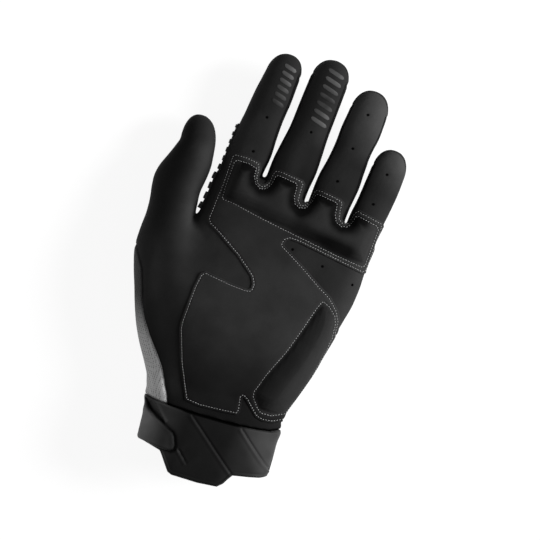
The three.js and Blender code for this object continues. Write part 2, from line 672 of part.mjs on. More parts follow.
// Cuff, its closing strap and the two fastening patches
const cuffLayer = (low, high, swell = noSwell) => cut(
  palmBody(high, coarse, swell), palmBody(low, coarse, swell),
);
const cuffLow = layerGap;
const cuffHigh = layerGap + cuffThickness;
const ribPlan = ([x0, y0, x1, y1]) => {
  const side = new THREE.Vector2(y0 - y1, x1 - x0).setLength(cuffRibWidth / 2);
  return [
    [x0 + side.x, y0 + side.y], [x0 - side.x, y0 - side.y],
    [x1 - side.x, y1 - side.y], [x1 + side.x, y1 + side.y],
  ];
};
const cuffShell = cuffLayer(cuffLow, cuffHigh);
const raisedShell = cuffLayer(cuffLow, cuffHigh + cuffRibRise);
const cuffPalm = join([
  meet(cuffShell, palmSide, prism(cuffPalmOutline)),
  ...cuffRibs.map((rib) => meet(raisedShell, palmSide, prism(ribPlan(rib)), prism(cuffPalmOutline))),
]);
node('cuff_palm', cuffPalm, neoprene, 0.6);
node('cuff_back', meet(cuffShell, backSide, prism(cuffBackOutline), aboveGround), neoprene, 0.6);

const loopLow = cuffHigh + layerGap;
const hookLow = loopLow + patchThickness + layerGap;
const loopShell = cuffLayer(loopLow, loopLow + patchThickness);
node('loop_patch', meet(loopShell, palmSide, prism(loopPatchOutline)), knit, 0.95);
const strapShell = cuffLayer(loopLow, loopLow + strapThickness, strapSwell);
const strapAbove = seamSlab(-strapHingeDrop + half, cutReach);
const strapBelow = seamSlab(-cutReach, -strapHingeDrop - half);
const strapSideOnly = prism([
  [-cutReach, -cutReach], [strapClimb.to, -cutReach], [strapClimb.to, cutReach], [-cutReach, cutReach],
]);
const strapFront = meet(strapShell, palmSide, prism(strapOutline));
const strapTurn = meet(
  strapShell, strapAbove, seamSlab(-cutReach, seamGap), strapSideOnly, prism(strapOutline),
);
node('closure_strap', join([strapFront, strapTurn]), neoprene, 0.55);
node('strap_anchor', meet(strapShell, strapBelow, prism(strapAnchorOutline), aboveGround), neoprene, 0.55);
const hookShell = cuffLayer(hookLow, hookLow + patchThickness);
node('hook_patch', meet(hookShell, palmSide, prism(hookPatchOutline)), rubber, 0.9);

// Tips of the digits, beyond the knuckles that bend
function gripBars(name) {
  const { from, to, first, pitch, count } = gripPrints[name];
  const layer = cut(digitBody(name, gripPrintThickness), digitBody(name, -skinThickness / 2));
  return Array.from({ length: count }, (_, k) => {
    const y = first + k * pitch;
    const drop = gripPrintSlantShare * (to - from);
    return meet(layer, palmSide, prism([
      [from, y], [to, y + drop], [to, y + drop + gripPrintWidth], [from, y + gripPrintWidth],
    ]));
  });
}
fingerNames.forEach((name) => {
  const zone = tipZone(name);
  const front = cut(meet(skin, palmSide, zone), sideChannels, vents);
  node(`${name}_tip_front`, gripPrints[name] ? join([front, ...gripBars(name)]) : front, leather, 0.6);
  node(`${name}_tip_back`, cut(meet(skin, backSide, zone), sideChannels), knit, 0.85);
});
neighbours.forEach(([first, second]) => {
  const strip = meet(skin, sideZone(first, second, half));
  node(`${first}_tip_side_${second}`, meet(strip, tipZone(first)), knit, 0.85);
  node(`${second}_tip_side_${first}`, meet(strip, tipZone(second)), knit, 0.85);
});
node('thumb_tip_front', meet(skin, palmSide, tipZone('thumb')), leather, 0.6);
node('thumb_tip_back', meet(skin, backSide, tipZone('thumb')), knit, 0.85);

// The glove, with the middle of its bounding box over the origin and its lowest face at height zero
const glove = new THREE.Group();
glove.name = 'motocross_glove';
nodes.forEach(({ name, solid, colour, roughness }) => {
  const finish = { name: `${name}_finish`, color: colour, roughness, metalness: 0 };
  const piece = new THREE.Mesh(geometryOf(solid), new THREE.MeshStandardMaterial(finish));
  piece.name = name;
  glove.add(piece);
});
const bounds = new THREE.Box3().setFromObject(glove);
const middle = bounds.getCenter(new THREE.Vector3());
glove.children.forEach((piece) => piece.geometry.translate(-middle.x, -middle.y, -bounds.min.z));

export default glove;
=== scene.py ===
import math

import bmesh
import bpy
import numpy as np
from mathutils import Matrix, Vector
from mathutils.bvhtree import BVHTree

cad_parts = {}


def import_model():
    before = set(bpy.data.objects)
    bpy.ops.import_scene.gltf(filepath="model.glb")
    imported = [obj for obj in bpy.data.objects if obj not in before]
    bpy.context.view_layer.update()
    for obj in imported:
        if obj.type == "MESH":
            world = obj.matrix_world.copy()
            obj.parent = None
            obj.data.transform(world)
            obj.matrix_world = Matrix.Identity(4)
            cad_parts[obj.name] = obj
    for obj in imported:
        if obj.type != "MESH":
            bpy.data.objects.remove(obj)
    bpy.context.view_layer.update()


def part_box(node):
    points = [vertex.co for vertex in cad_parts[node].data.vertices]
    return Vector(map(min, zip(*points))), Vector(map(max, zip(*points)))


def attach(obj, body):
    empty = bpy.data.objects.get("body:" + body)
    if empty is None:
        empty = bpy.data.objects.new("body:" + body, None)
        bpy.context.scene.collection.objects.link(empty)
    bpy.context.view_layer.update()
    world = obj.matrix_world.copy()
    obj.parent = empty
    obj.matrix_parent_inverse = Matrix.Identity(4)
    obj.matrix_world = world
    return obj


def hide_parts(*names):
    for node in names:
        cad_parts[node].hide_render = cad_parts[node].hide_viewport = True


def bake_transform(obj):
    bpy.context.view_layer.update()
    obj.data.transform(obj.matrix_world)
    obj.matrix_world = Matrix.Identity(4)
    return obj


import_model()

# Lengths below are in millimetres in the glove's own measure: x to the little finger,
# y to the fingertips from the top of the cuff, z up out of the palm.
MM = 0.001
LOOP_PATCH_LEFT = -29
SKIN_START = -9
ORIGIN = np.array([
    LOOP_PATCH_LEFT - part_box("loop_patch")[0][0] / MM,
    SKIN_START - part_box("palm_panel")[0][1] / MM,
    0.0,
])


def world(points):
    """Glove measure in millimetres to the frame in metres."""
    return (np.asarray(points, float) - ORIGIN) * MM


def placed(name, data):
    """A new object in the scene with this data."""
    thing = bpy.data.objects.new(name, data)
    bpy.context.collection.objects.link(thing)
    return thing


# Camera at the photograph's angle
PIXEL = 0.54
PHOTO = 540
TILT = math.radians(20)
LENS = 500
SENSOR = 36
VIEW_CENTRE = (2.86, 82.93, 17.0)
camera_data = bpy.data.cameras.new("camera")
camera_data.lens = LENS
camera_data.sensor_width = SENSOR
camera = placed("camera", camera_data)
camera.location = Vector(world(VIEW_CENTRE)) + Vector((0, 0, PIXEL * PHOTO * LENS / SENSOR * MM))
camera.rotation_euler = (0, 0, TILT)
camera_data.clip_start = 0.01
camera_data.clip_end = 20
bpy.context.scene.camera = camera

# Heights of the seam line, the back and the palm along the hand: [y, z]
SEAM_HEIGHTS = [
    [-46, 22], [0, 21.5], [50, 20], [90, 17.5], [120, 14.8], [150, 14.6], [180, 16.6], [205, 19.5]]
BACK_HEIGHTS = [[-46, 4.3], [0, 4.3], [20, 3.9], [60, 3.6], [100, 2.9], [125, 2.9]]
PALM_HEIGHTS = [[-46, 35], [0, 36], [20, 38], [45, 38.5], [80, 34.5], [100, 31], [125, 27.5]]
# Left and right edges of the hand without its digits: [y, left, right]
PALM_ROWS = [
    [-46, -27, 34.5], [-30, -28.2, 36.2], [-20, -29.3, 36.8], [-10, -31, 36.2], [-3, -35.8, 35.6],
    [4, -39.2, 36.2], [12, -41.5, 36.9], [22, -44, 39.6], [35, -46, 43.2], [50, -47, 46],
    [65, -46.8, 48.4], [80, -46, 51], [92, -45, 51.8], [104, -42.6, 51.5], [117, -42, 51.8],
]
PALM_END = 8
PALM_MIDDLE = 4.6
PALM_SLANT = -0.09
DIGITS = {
    "thumb": dict(
        rows=[[8, -40.5, -20], [15, -45, -18], [22, -49.8, -18], [31, -55, -20], [41, -59.5, -22],
              [50, -63, -25], [60, -67, -29], [70, -70.1, -33], [80, -70.7, -38], [90, -70.6, -43],
              [97, -71.3, -45], [104, -72.7, -46.4], [110, -73.5, -47], [116, -72.6, -46.4],
              [124, -69.7, -46.1], [133, -66.8, -47.4]],
        halves=[[8, 8], [20, 12], [50, 15.5], [80, 14], [100, 12.2], [116, 11.2], [133, 9.4]],
        tip=(-59.5, 149.2), bend=120, cut=101, wrap=0),
    "index": dict(
        rows=[[98, -41.6, -19], [112, -41.5, -18.8], [130, -40.6, -18.6], [140, -40.3, -17.6],
              [150, -39.9, -18], [160, -38.7, -18.1], [171, -37.9, -17.4], [183, -36.2, -17.3]],
        tip=(-26, 196), bend=153, cut=129, side_end=186, wrap=2.5),
    "middle": dict(
        rows=[[98, -16.5, 7.5], [112, -16.3, 7.5], [130, -16.1, 7.5], [140, -15.9, 8.4],
              [150, -14.7, 8.2], [160, -13.4, 7.8], [174, -12.9, 8], [188, -12.3, 8.2]],
        tip=(-1.6, 201.2), bend=156, cut=129, side_end=191, wrap=2.5),
    "ring": dict(
        rows=[[98, 9.8, 31.5], [112, 9.7, 31.6], [128, 9.8, 31.8], [140, 10.2, 32.9],
              [150, 11.8, 32.7], [160, 12.7, 32.9], [169, 12.8, 34.3], [178, 13.6, 34.4]],
        tip=(24, 193), bend=151, cut=127.5, side_end=182, wrap=2.8),
    "little": dict(
        rows=[[98, 33.2, 50.9], [110, 33.2, 51], [125, 33.3, 52], [135, 34.4, 53.1],
              [144, 34.9, 53.8], [153, 35.5, 54.1]],
        tip=(44.7, 166.6), bend=143, cut=125, side_end=156, wrap=2.8),
}
FINGERS = ["index", "middle", "ring", "little"]
LEAN = math.radians(3.3)
FINGER_HEIGHT = 0.9
DOME_POWER = 2.3
DOME_RINGS = 14
PALM_POWER = 2.7
DIGIT_POWER = 2.2
BLEND_REACH = 9

# Outlines in plan, seen on the palm: [x, y]
OVERLAY = [
    [-15.5, 2.6], [-8, 2.1], [4, 3.4], [12, 4.6], [12.6, 5.8], [11.2, 13.6], [12.4, 15], [15, 13.8],
    [19, 10.2], [23, 6.8], [26.5, 6.1], [31.5, 7], [38, 10.3], [60, 20], [60, 62], [47.6, 62],
    [46.8, 69], [44, 74], [38, 79.4], [30, 83.4], [18, 90.2], [4.8, 96.9], [3.9, 98.6], [4.8, 101.3],
    [7.3, 103], [13, 103], [50, 99], [51.5, 100.4], [51.5, 125.2], [50.5, 126.8], [37, 128.7],
    [35.6, 127.5], [34.4, 122.3], [33.2, 120.3], [31, 119.8], [28.5, 121.3], [27.4, 126], [27, 130],
    [25, 131], [14, 132.3], [11.4, 131.6], [10.8, 125], [8.5, 121.6], [6, 121.2], [4.2, 123.5],
    [3.8, 128], [3.6, 132.4], [2.5, 133.5], [-9, 134.6], [-12, 134.2], [-13, 132], [-13.3, 127.5],
    [-14.6, 124.6], [-17, 123.5], [-19.6, 124.6], [-21, 127.5], [-21.4, 132], [-22.6, 134.6],
    [-29, 135.4], [-35.4, 135], [-36.8, 133.5], [-36.5, 118], [-37.3, 98], [-36, 95.8], [-30, 93],
    [-16, 85], [-5, 77], [-2.6, 73], [-2.4, 70], [-3.6, 68.3], [-6, 67.9], [-14, 68], [-29, 69.4],
    [-30.6, 68], [-31.6, 60], [-31.6, 40], [-31, 36.8], [-24.5, 20],
]
OVERLAY_HEM = 1.2
BASE_FOAM = [
    [-34.5, 110.2], [-28, 109.9], [-12, 107.5], [8, 105.2], [35, 102.2], [48.6, 101.3], [50.2, 102.5],
    [50.4, 123.5], [49, 124.8], [38, 126.4], [36.7, 125.8], [36, 122.5], [34.3, 119], [31, 118],
    [27.6, 119.3], [25.8, 122.5], [24.8, 128.4], [24, 129.3], [13.5, 130.2], [12.2, 129.3],
    [11.8, 125.5], [9.5, 120.8], [6.5, 119.7], [3.2, 121], [1.6, 124.5], [1.2, 130], [0.5, 131.6],
    [-10, 132.4], [-11.3, 131.8], [-12, 127], [-13.8, 123.3], [-17, 122.2], [-20.5, 124],
    [-22.4, 127.5], [-22.8, 131.9], [-27, 132.9], [-34, 132.6], [-35, 131], [-35, 118],
]
HEEL_FOAM = [
    [36, 76.7], [40, 75], [44, 71.5], [45.8, 68], [46.8, 60], [46, 50], [43.6, 36], [40.4, 24],
    [37, 13], [30, 9.4], [24.8, 9], [22, 10.5], [17.7, 15.8], [17.2, 18.5], [20.5, 30], [26, 44],
    [29.2, 55], [33.5, 72], [35, 76],
]
GUSSET = [
    [-90, 80], [-70.5, 72], [-65.5, 65], [-62, 60], [-58, 50], [-55.5, 42], [-52, 35.5], [-46, 27.5],
    [-40, 21], [-34.5, 14.5], [-30.5, 8], [-26.5, 1], [-24.5, -4], [-23, -9], [-90, -9],
]
THUMB_BACK = [
    [-90, 40], [-60, 46], [-51, 58], [-47.5, 74], [-45.6, 90], [-45.2, 99], [-44.8, 103], [-44.8, 160],
    [-90, 160],
]
# The two halves of the cuff share their ends at the sides of the wrist
CUFF_RIGHT = [[36.5, 3.8], [50, 5], [50, -19.6], [39.6, -20.6], [37.4, -22.8], [34.6, -24.4], [30, -25.8]]
CUFF_LEFT = [[-30, -26.5], [-32.4, -25.3], [-34.4, -22.8], [-50, -21.5], [-50, -1], [-37, -2.6]]
CUFF_PALM = [
    [-30, -3.6], [-23, -4], [-10, -3.6], [5, -2.6], [15, -1.7], [25, -0.2], [32, 1.3], *CUFF_RIGHT,
    [21.7, -27.9], [20.4, -30], [18.4, -33.8], [15.8, -36.4], [5, -38], [-9.5, -38.7], [-12, -37.8],
    [-14.5, -34.8], [-19.6, -28.5], [-24, -27.6], *CUFF_LEFT,
]
CUFF_BACK = [[-20, -3], [5, -2], [25, 0.6], *CUFF_RIGHT, [-22, -27], *CUFF_LEFT]
STRAP = [
    [-60, -3.4], [-34, -4], [-30.2, -8], [-24.8, -12.1], [-19, -15.2], [-15.6, -16.9],
    [-14.2, -18.6], [-12.4, -23], [-12.3, -25.4], [-13.6, -26.8], [-21, -27.2], [-31.2, -25.9],
    [-34.2, -23.2], [-60, -20.4],
]
STRAP_ROOT = [
    [-60, -5.6], [-37, -5.6], [4, -6], [7.5, -7.4], [9, -10.5], [9, -15], [7.5, -18.4], [4, -20],
    [-60, -21],
]
LOOP_PATCH = [[-29, -12], [-19, -17.5], [-16.5, -19], [-15, -24], [-29, -23.5]]
HOOK_PATCH = [[-26, -14], [-18.5, -17.8], [-16.8, -19.4], [-15.6, -23.4], [-26, -23]]
GUARD = [
    [-36.6, 100.5], [-35.4, 98.4], [-32, 97], [-12, 94.8], [16, 94.6], [42, 96.2], [45.6, 97.6],
    [47.2, 100], [47.4, 109], [46, 112], [42.5, 113.6], [33, 114], [29.5, 116.6], [26, 118.2],
    [11, 118.4], [7.4, 119.8], [4, 120.8], [-10, 121], [-14, 119.6], [-18, 118.8], [-32, 118.6],
    [-35.4, 117.2], [-36.6, 114.4],
]
# Middles of the gaps between the fingers at the pad
CROTCHES = [(-17, 130), (6, 128), (31, 126)]
KNUCKLES = [(-25.5, 107.8, 3.4), (-4, 109.2, 2.0), (18, 107, 2.0), (37, 104.6, 3.6)]
KNUCKLE_RADIUS = 10
# Moulded lines of the cuff, each a bead with a groove on its right: (x0, y0, x1, y1)
CUFF_LINES = [(-10.2, -4.9, 20.6, -28), (17.1, -2.8, 38.9, -20.5), (-10.8, -24.6, -4, -30.6)]
CUFF_FOLD = (-30.4, -3.8, -21, -13.2)
# The thumb's mound gets painted shade along the side turned from the light, and a painted highlight along
# its lit side beside the crotch
THUMB_PAINTED_SHADE = [[-66, 138], [-64, 120], [-60.5, 90], [-47, 60], [-34, 30], [-26, 8]]
THUMB_PAINTED_HIGHLIGHT = [[-52.5, 132], [-50, 112], [-45.5, 92], [-43, 82]]
# Painted light and shade on the fingers: how much darker a finger is painted on its right side, and how
# much lighter on its left
FINGER_PAINTED_SIDES = {"index": (0.25, 0.3), "middle": (0.55, 0), "ring": (0.5, 0.8), "little": (0.06, 0.8)}
WEB_FOLD = [[-45.6, 101], [-43.6, 93.5], [-37, 87.5], [-33.6, 82.5]]
VENTS = {
    "palm": [(10.6, 97.5), (28.8, 94.4), (47.4, 90.6)],
    "index": [(-26.7, 159.7), (-27.3, 140)],
    "middle": [(-1.7, 160.3)],
    "ring": [(24, 179.5), (22.5, 159.7), (20.8, 140.3)],
    "little": [(44.7, 152.8), (43.2, 135.3)],
}
VENT_RADIUS = 0.72
SKIN = 1.2
LAYER = 0.25
OVERLAY_THICK = 0.55
OVERLAY_RIM = 0.3
CUFF_LOW, CUFF_THICK = 0.3, 2.2
STRAP_LOW, STRAP_THICK, STRAP_CLIMB = 2.8, 1.8, 1.6
# Two points at the side of the wrist, where the strap turns round it
STRAP_BEND = (-35, -12, 6.5), (-35, -12, 19)
GUARD_THICK, GUARD_EDGE = 1.1, 1.2
# The cuff's layers are laid on straight outwards, with this share of the skin's lean along the hand
UPRIGHT = 0.15
SIDE_STRIP = 4.5
BASE_RISE, BASE_RAMP = 3.3, 7.6
HEEL_RISE, HEEL_RAMP = 4.4, 13.5
# Tubes are drawn in by this before they are joined, so that the gaps between fingers stay open
INSET = 0.45
PALM_STEP, DIGIT_STEP = 1.63, 1.5
VOXEL = 0.9
GROWTH = 0.2
WEB_DEPTH, WEB_WIDTH = 0.7, 3.4
# Triangles of the skin this near to a piece are cut with it
MARGIN = 2.5
SMOOTH_ROUNDS, CREASE_ROUNDS, NORMAL_ROUNDS = 5, 140, 3
# Where the digits' own pieces part from the hand's, beside the index finger and beside the thumb
INDEX_SIDE, THUMB_SIDE, FAR_SIDE = -44.4, -44.7, 90
# The seam across the knuckles: its y in the middle of the hand, and its slant
KNUCKLE_Y, KNUCKLE_SLANT = 122, -0.06
STRIPS_Y = 110.0
# How far a layer is sunk into the one below it
SUNK = 0.1
# Tone of the painted shade in a seam's groove and of the painted shadow line beside the cuff
SEAM_SHADE, CUFF_SHADE = 0.35, 0.9


def curve(table, place, column=1):
    """Value of a table [place, value] on a smooth curve through its rows."""
    t = np.asarray(table, float)
    x, v = t[:, 0], t[:, column]
    slope = np.gradient(v)
    slope[1:-1] = (v[2:] - v[:-2]) / (x[2:] - x[:-2])
    slope[0] = (v[1] - v[0]) / (x[1] - x[0])
    slope[-1] = (v[-1] - v[-2]) / (x[-1] - x[-2])
    place = np.asarray(place, float)
    k = np.clip(np.searchsorted(x, place) - 1, 0, len(x) - 2)
    span = x[k + 1] - x[k]
    s = np.clip((place - x[k]) / span, 0, 1)
    r = 1 - s
    return ((1 + 2 * s) * r * r * v[k] + s * r * r * span * slope[k]
            + s * s * (3 - 2 * s) * v[k + 1] - s * s * r * span * slope[k + 1])


def ease(value, low, high):
    """Zero below low and one above high, with a smooth climb between them."""
    s = np.clip((value - low) / (high - low), 0, 1)
    return s * s * (3 - 2 * s)


def fall(value, low, high):
    return 1 - ease(value, low, high)


def bell(value, width):
    return np.exp(-(value / width) ** 2)


def spot(points, x, y, width):
    """A bell round a place in plan."""
    return bell(np.hypot(points[:, 0] - x, points[:, 1] - y), width)


def rounded(depth, width, low):
    """Share of a layer's thickness, from low at its edge to one where it is width deep."""
    edge = np.clip(depth / width, 0, 1)
    return low + (1 - low) * np.sqrt(edge * (2 - edge))


def least(*fields):
    return np.min(fields, axis=0)


def where_both(first, second):
    """A field that is above zero where two others are."""
    return lambda v: np.minimum(first(v), second(v))


def line_distance(points, line, closed=False):
    """Distance in plan from each point to a line of points."""
    p = np.asarray(points)[:, :2]
    a = np.asarray(line, float)[:, :2]
    b = np.roll(a, -1, axis=0)
    if not closed:
        a, b = a[:-1], b[:-1]
    best = np.full(len(p), np.inf)
    for start, end in zip(a, b):
        d = end - start
        s = np.clip(((p - start) @ d) / max(d @ d, 1e-9), 0, 1)
        best = np.minimum(best, np.hypot(*(p - start - s[:, None] * d).T))
    return best


def line_frame(points, line):
    """Signed distance to the left of a straight line, and the share of its length."""
    x0, y0, x1, y1 = line
    p = np.asarray(points)[:, :2] - (x0, y0)
    d = np.array([x1 - x0, y1 - y0])
    length = math.hypot(*d)
    d /= length
    return p[:, 1] * d[0] - p[:, 0] * d[1], (p @ d) / length


def within(points, outline):
    """Signed distance in plan to an outline, positive inside."""
    p = np.asarray(points)
    x, y = p[:, 0], p[:, 1]
    inside = np.zeros(len(p), bool)
    pts = np.asarray(outline, float)
    for (x0, y0), (x1, y1) in zip(np.roll(pts, 1, axis=0), pts):
        if y0 == y1:
            continue
        crosses = (y0 > y) != (y1 > y)
        inside ^= crosses & (x < x0 + (x1 - x0) * (y - y0) / (y1 - y0))
    d = line_distance(p, outline, closed=True)
    return np.where(inside, d, -d)


def waves(points, size, seed):
    """Smooth deterministic noise, about -1 to 1."""
    rng = np.random.default_rng(seed)
    total = np.zeros(len(points))
    weight = 1.0
    for _ in range(3):
        for _ in range(6):
            direction = rng.normal(size=3)
            direction /= np.linalg.norm(direction)
            phase = rng.uniform(0, 2 * math.pi)
            total += weight * np.sin(2 * math.pi * (points @ direction) / size + phase)
        size *= 0.5
        weight *= 0.5
    return total / 6


# Tubes of the hand and the digits
def bands(count, sides):
    """Quads between neighbouring rings of points."""
    k = np.arange(count - 1)[:, None] * sides
    i = np.arange(sides)
    j = (i + 1) % sides
    return np.stack([k + i, k + j, k + j + sides, k + i + sides], axis=-1).reshape(-1, 4)


def halves(quads):
    return np.vstack([quads[:, :3], quads[:, [0, 2, 3]]])


def loft(rings, first_middle, last_middle):
    """Closed form through rings of points: vertices, quads, and the triangles of its two ends."""
    count, sides = rings.shape[:2]
    n = count * sides
    i = np.arange(sides)
    j = (i + 1) % sides
    first = np.stack([j, i, 0 * i + n], axis=1)
    last = np.stack([n - sides + i, n - sides + j, 0 * i + n + 1], axis=1)
    vertices = np.vstack([rings.reshape(-1, 3), first_middle, last_middle])
    return vertices, bands(count, sides), np.vstack([first, last])


def tube(y, left, right, palm_half, back_half, power, slant, dome_length, dome_x, sides=96):
    """Tube along y with a domed end."""
    angle = 2 * math.pi * np.arange(sides) / sides
    c, s = -np.cos(angle), np.sin(angle)
    seam = curve(SEAM_HEIGHTS, y)[:, None]
    centre, half = (left + right) / 2, (right - left) / 2 - INSET
    across = half[:, None] * np.sign(c) * np.abs(c) ** (2 / power)
    height = np.where(s >= 0, palm_half[:, None], back_half[:, None]) - INSET
    up = height * np.sign(s) * np.abs(s) ** (2 / power)
    x = centre[:, None] + across
    rings = np.stack([x, y[:, None] + slant[:, None] * (x - PALM_MIDDLE), seam + up], axis=-1)
    last = rings[-1]
    reach = dome_length - INSET
    middle = np.array([centre[-1], y[-1], curve(SEAM_HEIGHTS, y[-1])])
    end = np.array([dome_x, y[-1] + reach, curve(SEAM_HEIGHTS, y[-1] + reach)])
    domes = []
    for along in np.sin(np.linspace(0, math.pi / 2, DOME_RINGS))[1:]:
        scale = max((1 - along ** DOME_POWER) ** (1 / DOME_POWER), 0.02)
        ring = middle + (end - middle) * along + (last - middle) * scale
        ring[:, 1] = last[:, 1] + reach * along
        domes.append(ring)
    rings = np.concatenate([rings, np.array(domes)])
    return loft(rings, rings[0].mean(axis=0), rings[-1].mean(axis=0))


def palm_tube():
    y = np.arange(PALM_ROWS[0][0], PALM_ROWS[-1][0] + 0.1, PALM_STEP)
    seam = curve(SEAM_HEIGHTS, y)
    slant = PALM_SLANT * ease(y, 60, PALM_ROWS[-1][0])
    return tube(y, curve(PALM_ROWS, y, 1), curve(PALM_ROWS, y, 2), curve(PALM_HEIGHTS, y) - seam,
                seam - curve(BACK_HEIGHTS, y), PALM_POWER, slant, PALM_END, PALM_MIDDLE, sides=160)


def digit_tube(name):
    d = DIGITS[name]
    first, last = d["rows"][0][0], d["rows"][-1][0]
    y = np.linspace(first, last, int((last - first) / DIGIT_STEP))
    left, right = curve(d["rows"], y, 1), curve(d["rows"], y, 2)
    half = curve(d["halves"], y) if "halves" in d else FINGER_HEIGHT * (right - left) / 2
    return tube(y, left, right, half, half, DIGIT_POWER, 0 * y, d["tip"][1] - last, d["tip"][0])


# Meshes as arrays
def new_mesh(name, vertices, faces):
    mesh = bpy.data.meshes.new(name)
    mesh.from_pydata([tuple(v) for v in vertices], [], [tuple(int(i) for i in f) for f in faces])
    mesh.update()
    return mesh


def arrays_of(mesh):
    v = np.empty(len(mesh.vertices) * 3)
    mesh.vertices.foreach_get("co", v)
    mesh.calc_loop_triangles()
    f = np.empty(len(mesh.loop_triangles) * 3, int)
    mesh.loop_triangles.foreach_get("vertices", f)
    return v.reshape(-1, 3), f.reshape(-1, 3)


def remeshed(mesh, voxel):
    """A voxel remesh of a closed mesh, as a new mesh."""
    thing = placed("remesh", mesh)
    modifier = thing.modifiers.new("voxels", "REMESH")
    modifier.mode = "VOXEL"
    modifier.voxel_size = voxel
    depsgraph = bpy.context.evaluated_depsgraph_get()
    result = bpy.data.meshes.new_from_object(thing.evaluated_get(depsgraph))
    bpy.data.objects.remove(thing)
    bpy.data.meshes.remove(mesh)
    return result


def union_skin(tubes, voxel):
    """One closed skin round overlapping tubes: vertices in millimetres and triangles."""
    vertices, faces, base = [], [], 0
    for v, quads, ends in tubes:
        vertices.append(v)
        faces += [*(quads + base), *(ends + base)]
        base += len(v)
    result = remeshed(new_mesh("tubes", np.vstack(vertices) * MM, faces), voxel * MM)
    v, f = arrays_of(result)
    bpy.data.meshes.remove(result)
    return v / MM, f


def half_edges(faces):
    """The three edges of each triangle, in its direction."""
    return np.vstack([faces[:, [0, 1]], faces[:, [1, 2]], faces[:, [2, 0]]])


def summed(places, rows, count):
    """The sum of the rows that belong to each place."""
    return np.stack([np.bincount(places, rows[:, k], count) for k in range(3)], axis=1)


def relax(vertices, faces, rounds, amount=0.5):
    """Moves each vertex towards the middle of its neighbours."""
    e = np.unique(np.sort(half_edges(faces), axis=1), axis=0)
    n = len(vertices)
    count = np.bincount(e.ravel(), minlength=n)[:, None]
    share = np.broadcast_to(np.asarray(amount, float).reshape(-1, 1), (n, 1))
    v = vertices.copy()
    for _ in range(rounds):
        total = summed(e[:, 0], v[e[:, 1]], n) + summed(e[:, 1], v[e[:, 0]], n)
        v += share * (total / np.maximum(count, 1) - v)
    return v


def unit(rows):
    return rows / np.maximum(np.linalg.norm(rows, axis=1, keepdims=True), 1e-12)


def normals_of(vertices, faces):
    a, b, c = (vertices[faces[:, k]] for k in range(3))
    n = np.cross(b - a, c - a)
    return unit(sum(summed(corner, n, len(vertices)) for corner in faces.T))


def compact(data, faces):
    """Drops the rows that no triangle uses."""
    used, inverse = np.unique(faces, return_inverse=True)
    return data[used], inverse.reshape(-1, 3)


def subdivide(data, faces):
    """Splits each triangle in four; data rows are averaged along the edges."""
    unique, inverse = np.unique(np.sort(half_edges(faces), axis=1), axis=0, return_inverse=True)
    ab, bc, ca = (len(data) + inverse).reshape(3, -1)
    a, b, c = faces.T
    data = np.vstack([data, data[unique].mean(axis=1)])
    parts = ((a, ab, ca), (ab, b, bc), (ca, bc, c), (ab, bc, ca))
    return data, np.vstack([np.stack(part, axis=1) for part in parts])


def clip(data, faces, field, snap=0.06):
    """Keeps the part where field is above zero, cut along its zero line."""
    field = np.where(np.abs(field) < snap, 1e-6, field)
    inside = field > 0
    hits = inside[faces].sum(axis=1)
    whole, cut = faces[hits == 3], faces[(hits == 1) | (hits == 2)]
    if not len(cut):
        return compact(data, whole)
    # The corner that is alone on its side of the line comes first
    alone = np.argmax(inside[cut] == (inside[cut].sum(axis=1) == 1)[:, None], axis=1)
    cut = np.take_along_axis(cut, (alone[:, None] + np.arange(3)) % 3, axis=1)
    pairs = np.sort(np.vstack([cut[:, [0, 1]], cut[:, [0, 2]]]), axis=1)
    unique, inverse = np.unique(pairs, axis=0, return_inverse=True)
    e1, e2 = (len(data) + inverse).reshape(2, -1)
    fa, fb = field[unique].T
    t = (fa / (fa - fb))[:, None]
    data = np.vstack([data, data[unique[:, 0]] * (1 - t) + data[unique[:, 1]] * t])
    a, b, c = cut.T
    kept = inside[a]
    corners = np.stack([a, e1, e2], axis=1)[kept]
    rests = np.vstack([np.stack([e1, b, c], axis=1)[~kept], np.stack([e1, c, e2], axis=1)[~kept]])
    return compact(data, np.vstack([whole, corners, rests]))


def closed(top, bottom, faces):
    """Closed solid between two sheets of points with the same triangles."""
    n = len(top)
    e = half_edges(faces)
    _, inverse, count = np.unique(np.sort(e, axis=1), axis=0, return_inverse=True, return_counts=True)
    a, b = e[count[inverse.ravel()] == 1].T
    sides = np.vstack([np.stack([b, a, a + n], axis=1), np.stack([b, a + n, b + n], axis=1)])
    return np.vstack([top, bottom]), np.vstack([faces, faces[:, ::-1] + n, sides])


def grid_solid(rows, columns, place):
    """Closed solid over a grid, where place(i, j) gives a point of its top and one of its bottom."""
    points = np.array([place(i, j) for i, j in np.ndindex(rows, columns)])
    index = np.arange(rows * columns).reshape(rows, columns)
    corners = (index[:-1, :-1], index[1:, :-1], index[1:, 1:], index[:-1, 1:])
    quads = np.stack([c.ravel() for c in corners], axis=1)
    return closed(points[:, 0], points[:, 1], halves(quads))


def joined(solids):
    """Several solids as one list of vertices and faces."""
    vertices, faces, base = [], [], 0
    for v, f in solids:
        vertices.append(v)
        faces.append(f + base)
        base += len(v)
    return np.vstack(vertices), np.vstack(faces)


def tree_of(vertices, faces):
    return BVHTree.FromPolygons([tuple(v) for v in vertices], [tuple(int(i) for i in f) for f in faces])


DOWN = (0, 0, -1)
ABOVE = 80


def cast(tree, start, direction=DOWN):
    """Where a ray meets a surface and the surface's normal there, or None twice."""
    hit, normal, _, _ = tree.ray_cast(Vector(start), Vector(direction))
    return (None, None) if hit is None else (np.array(hit), np.array(normal))


SOLIDS = {}


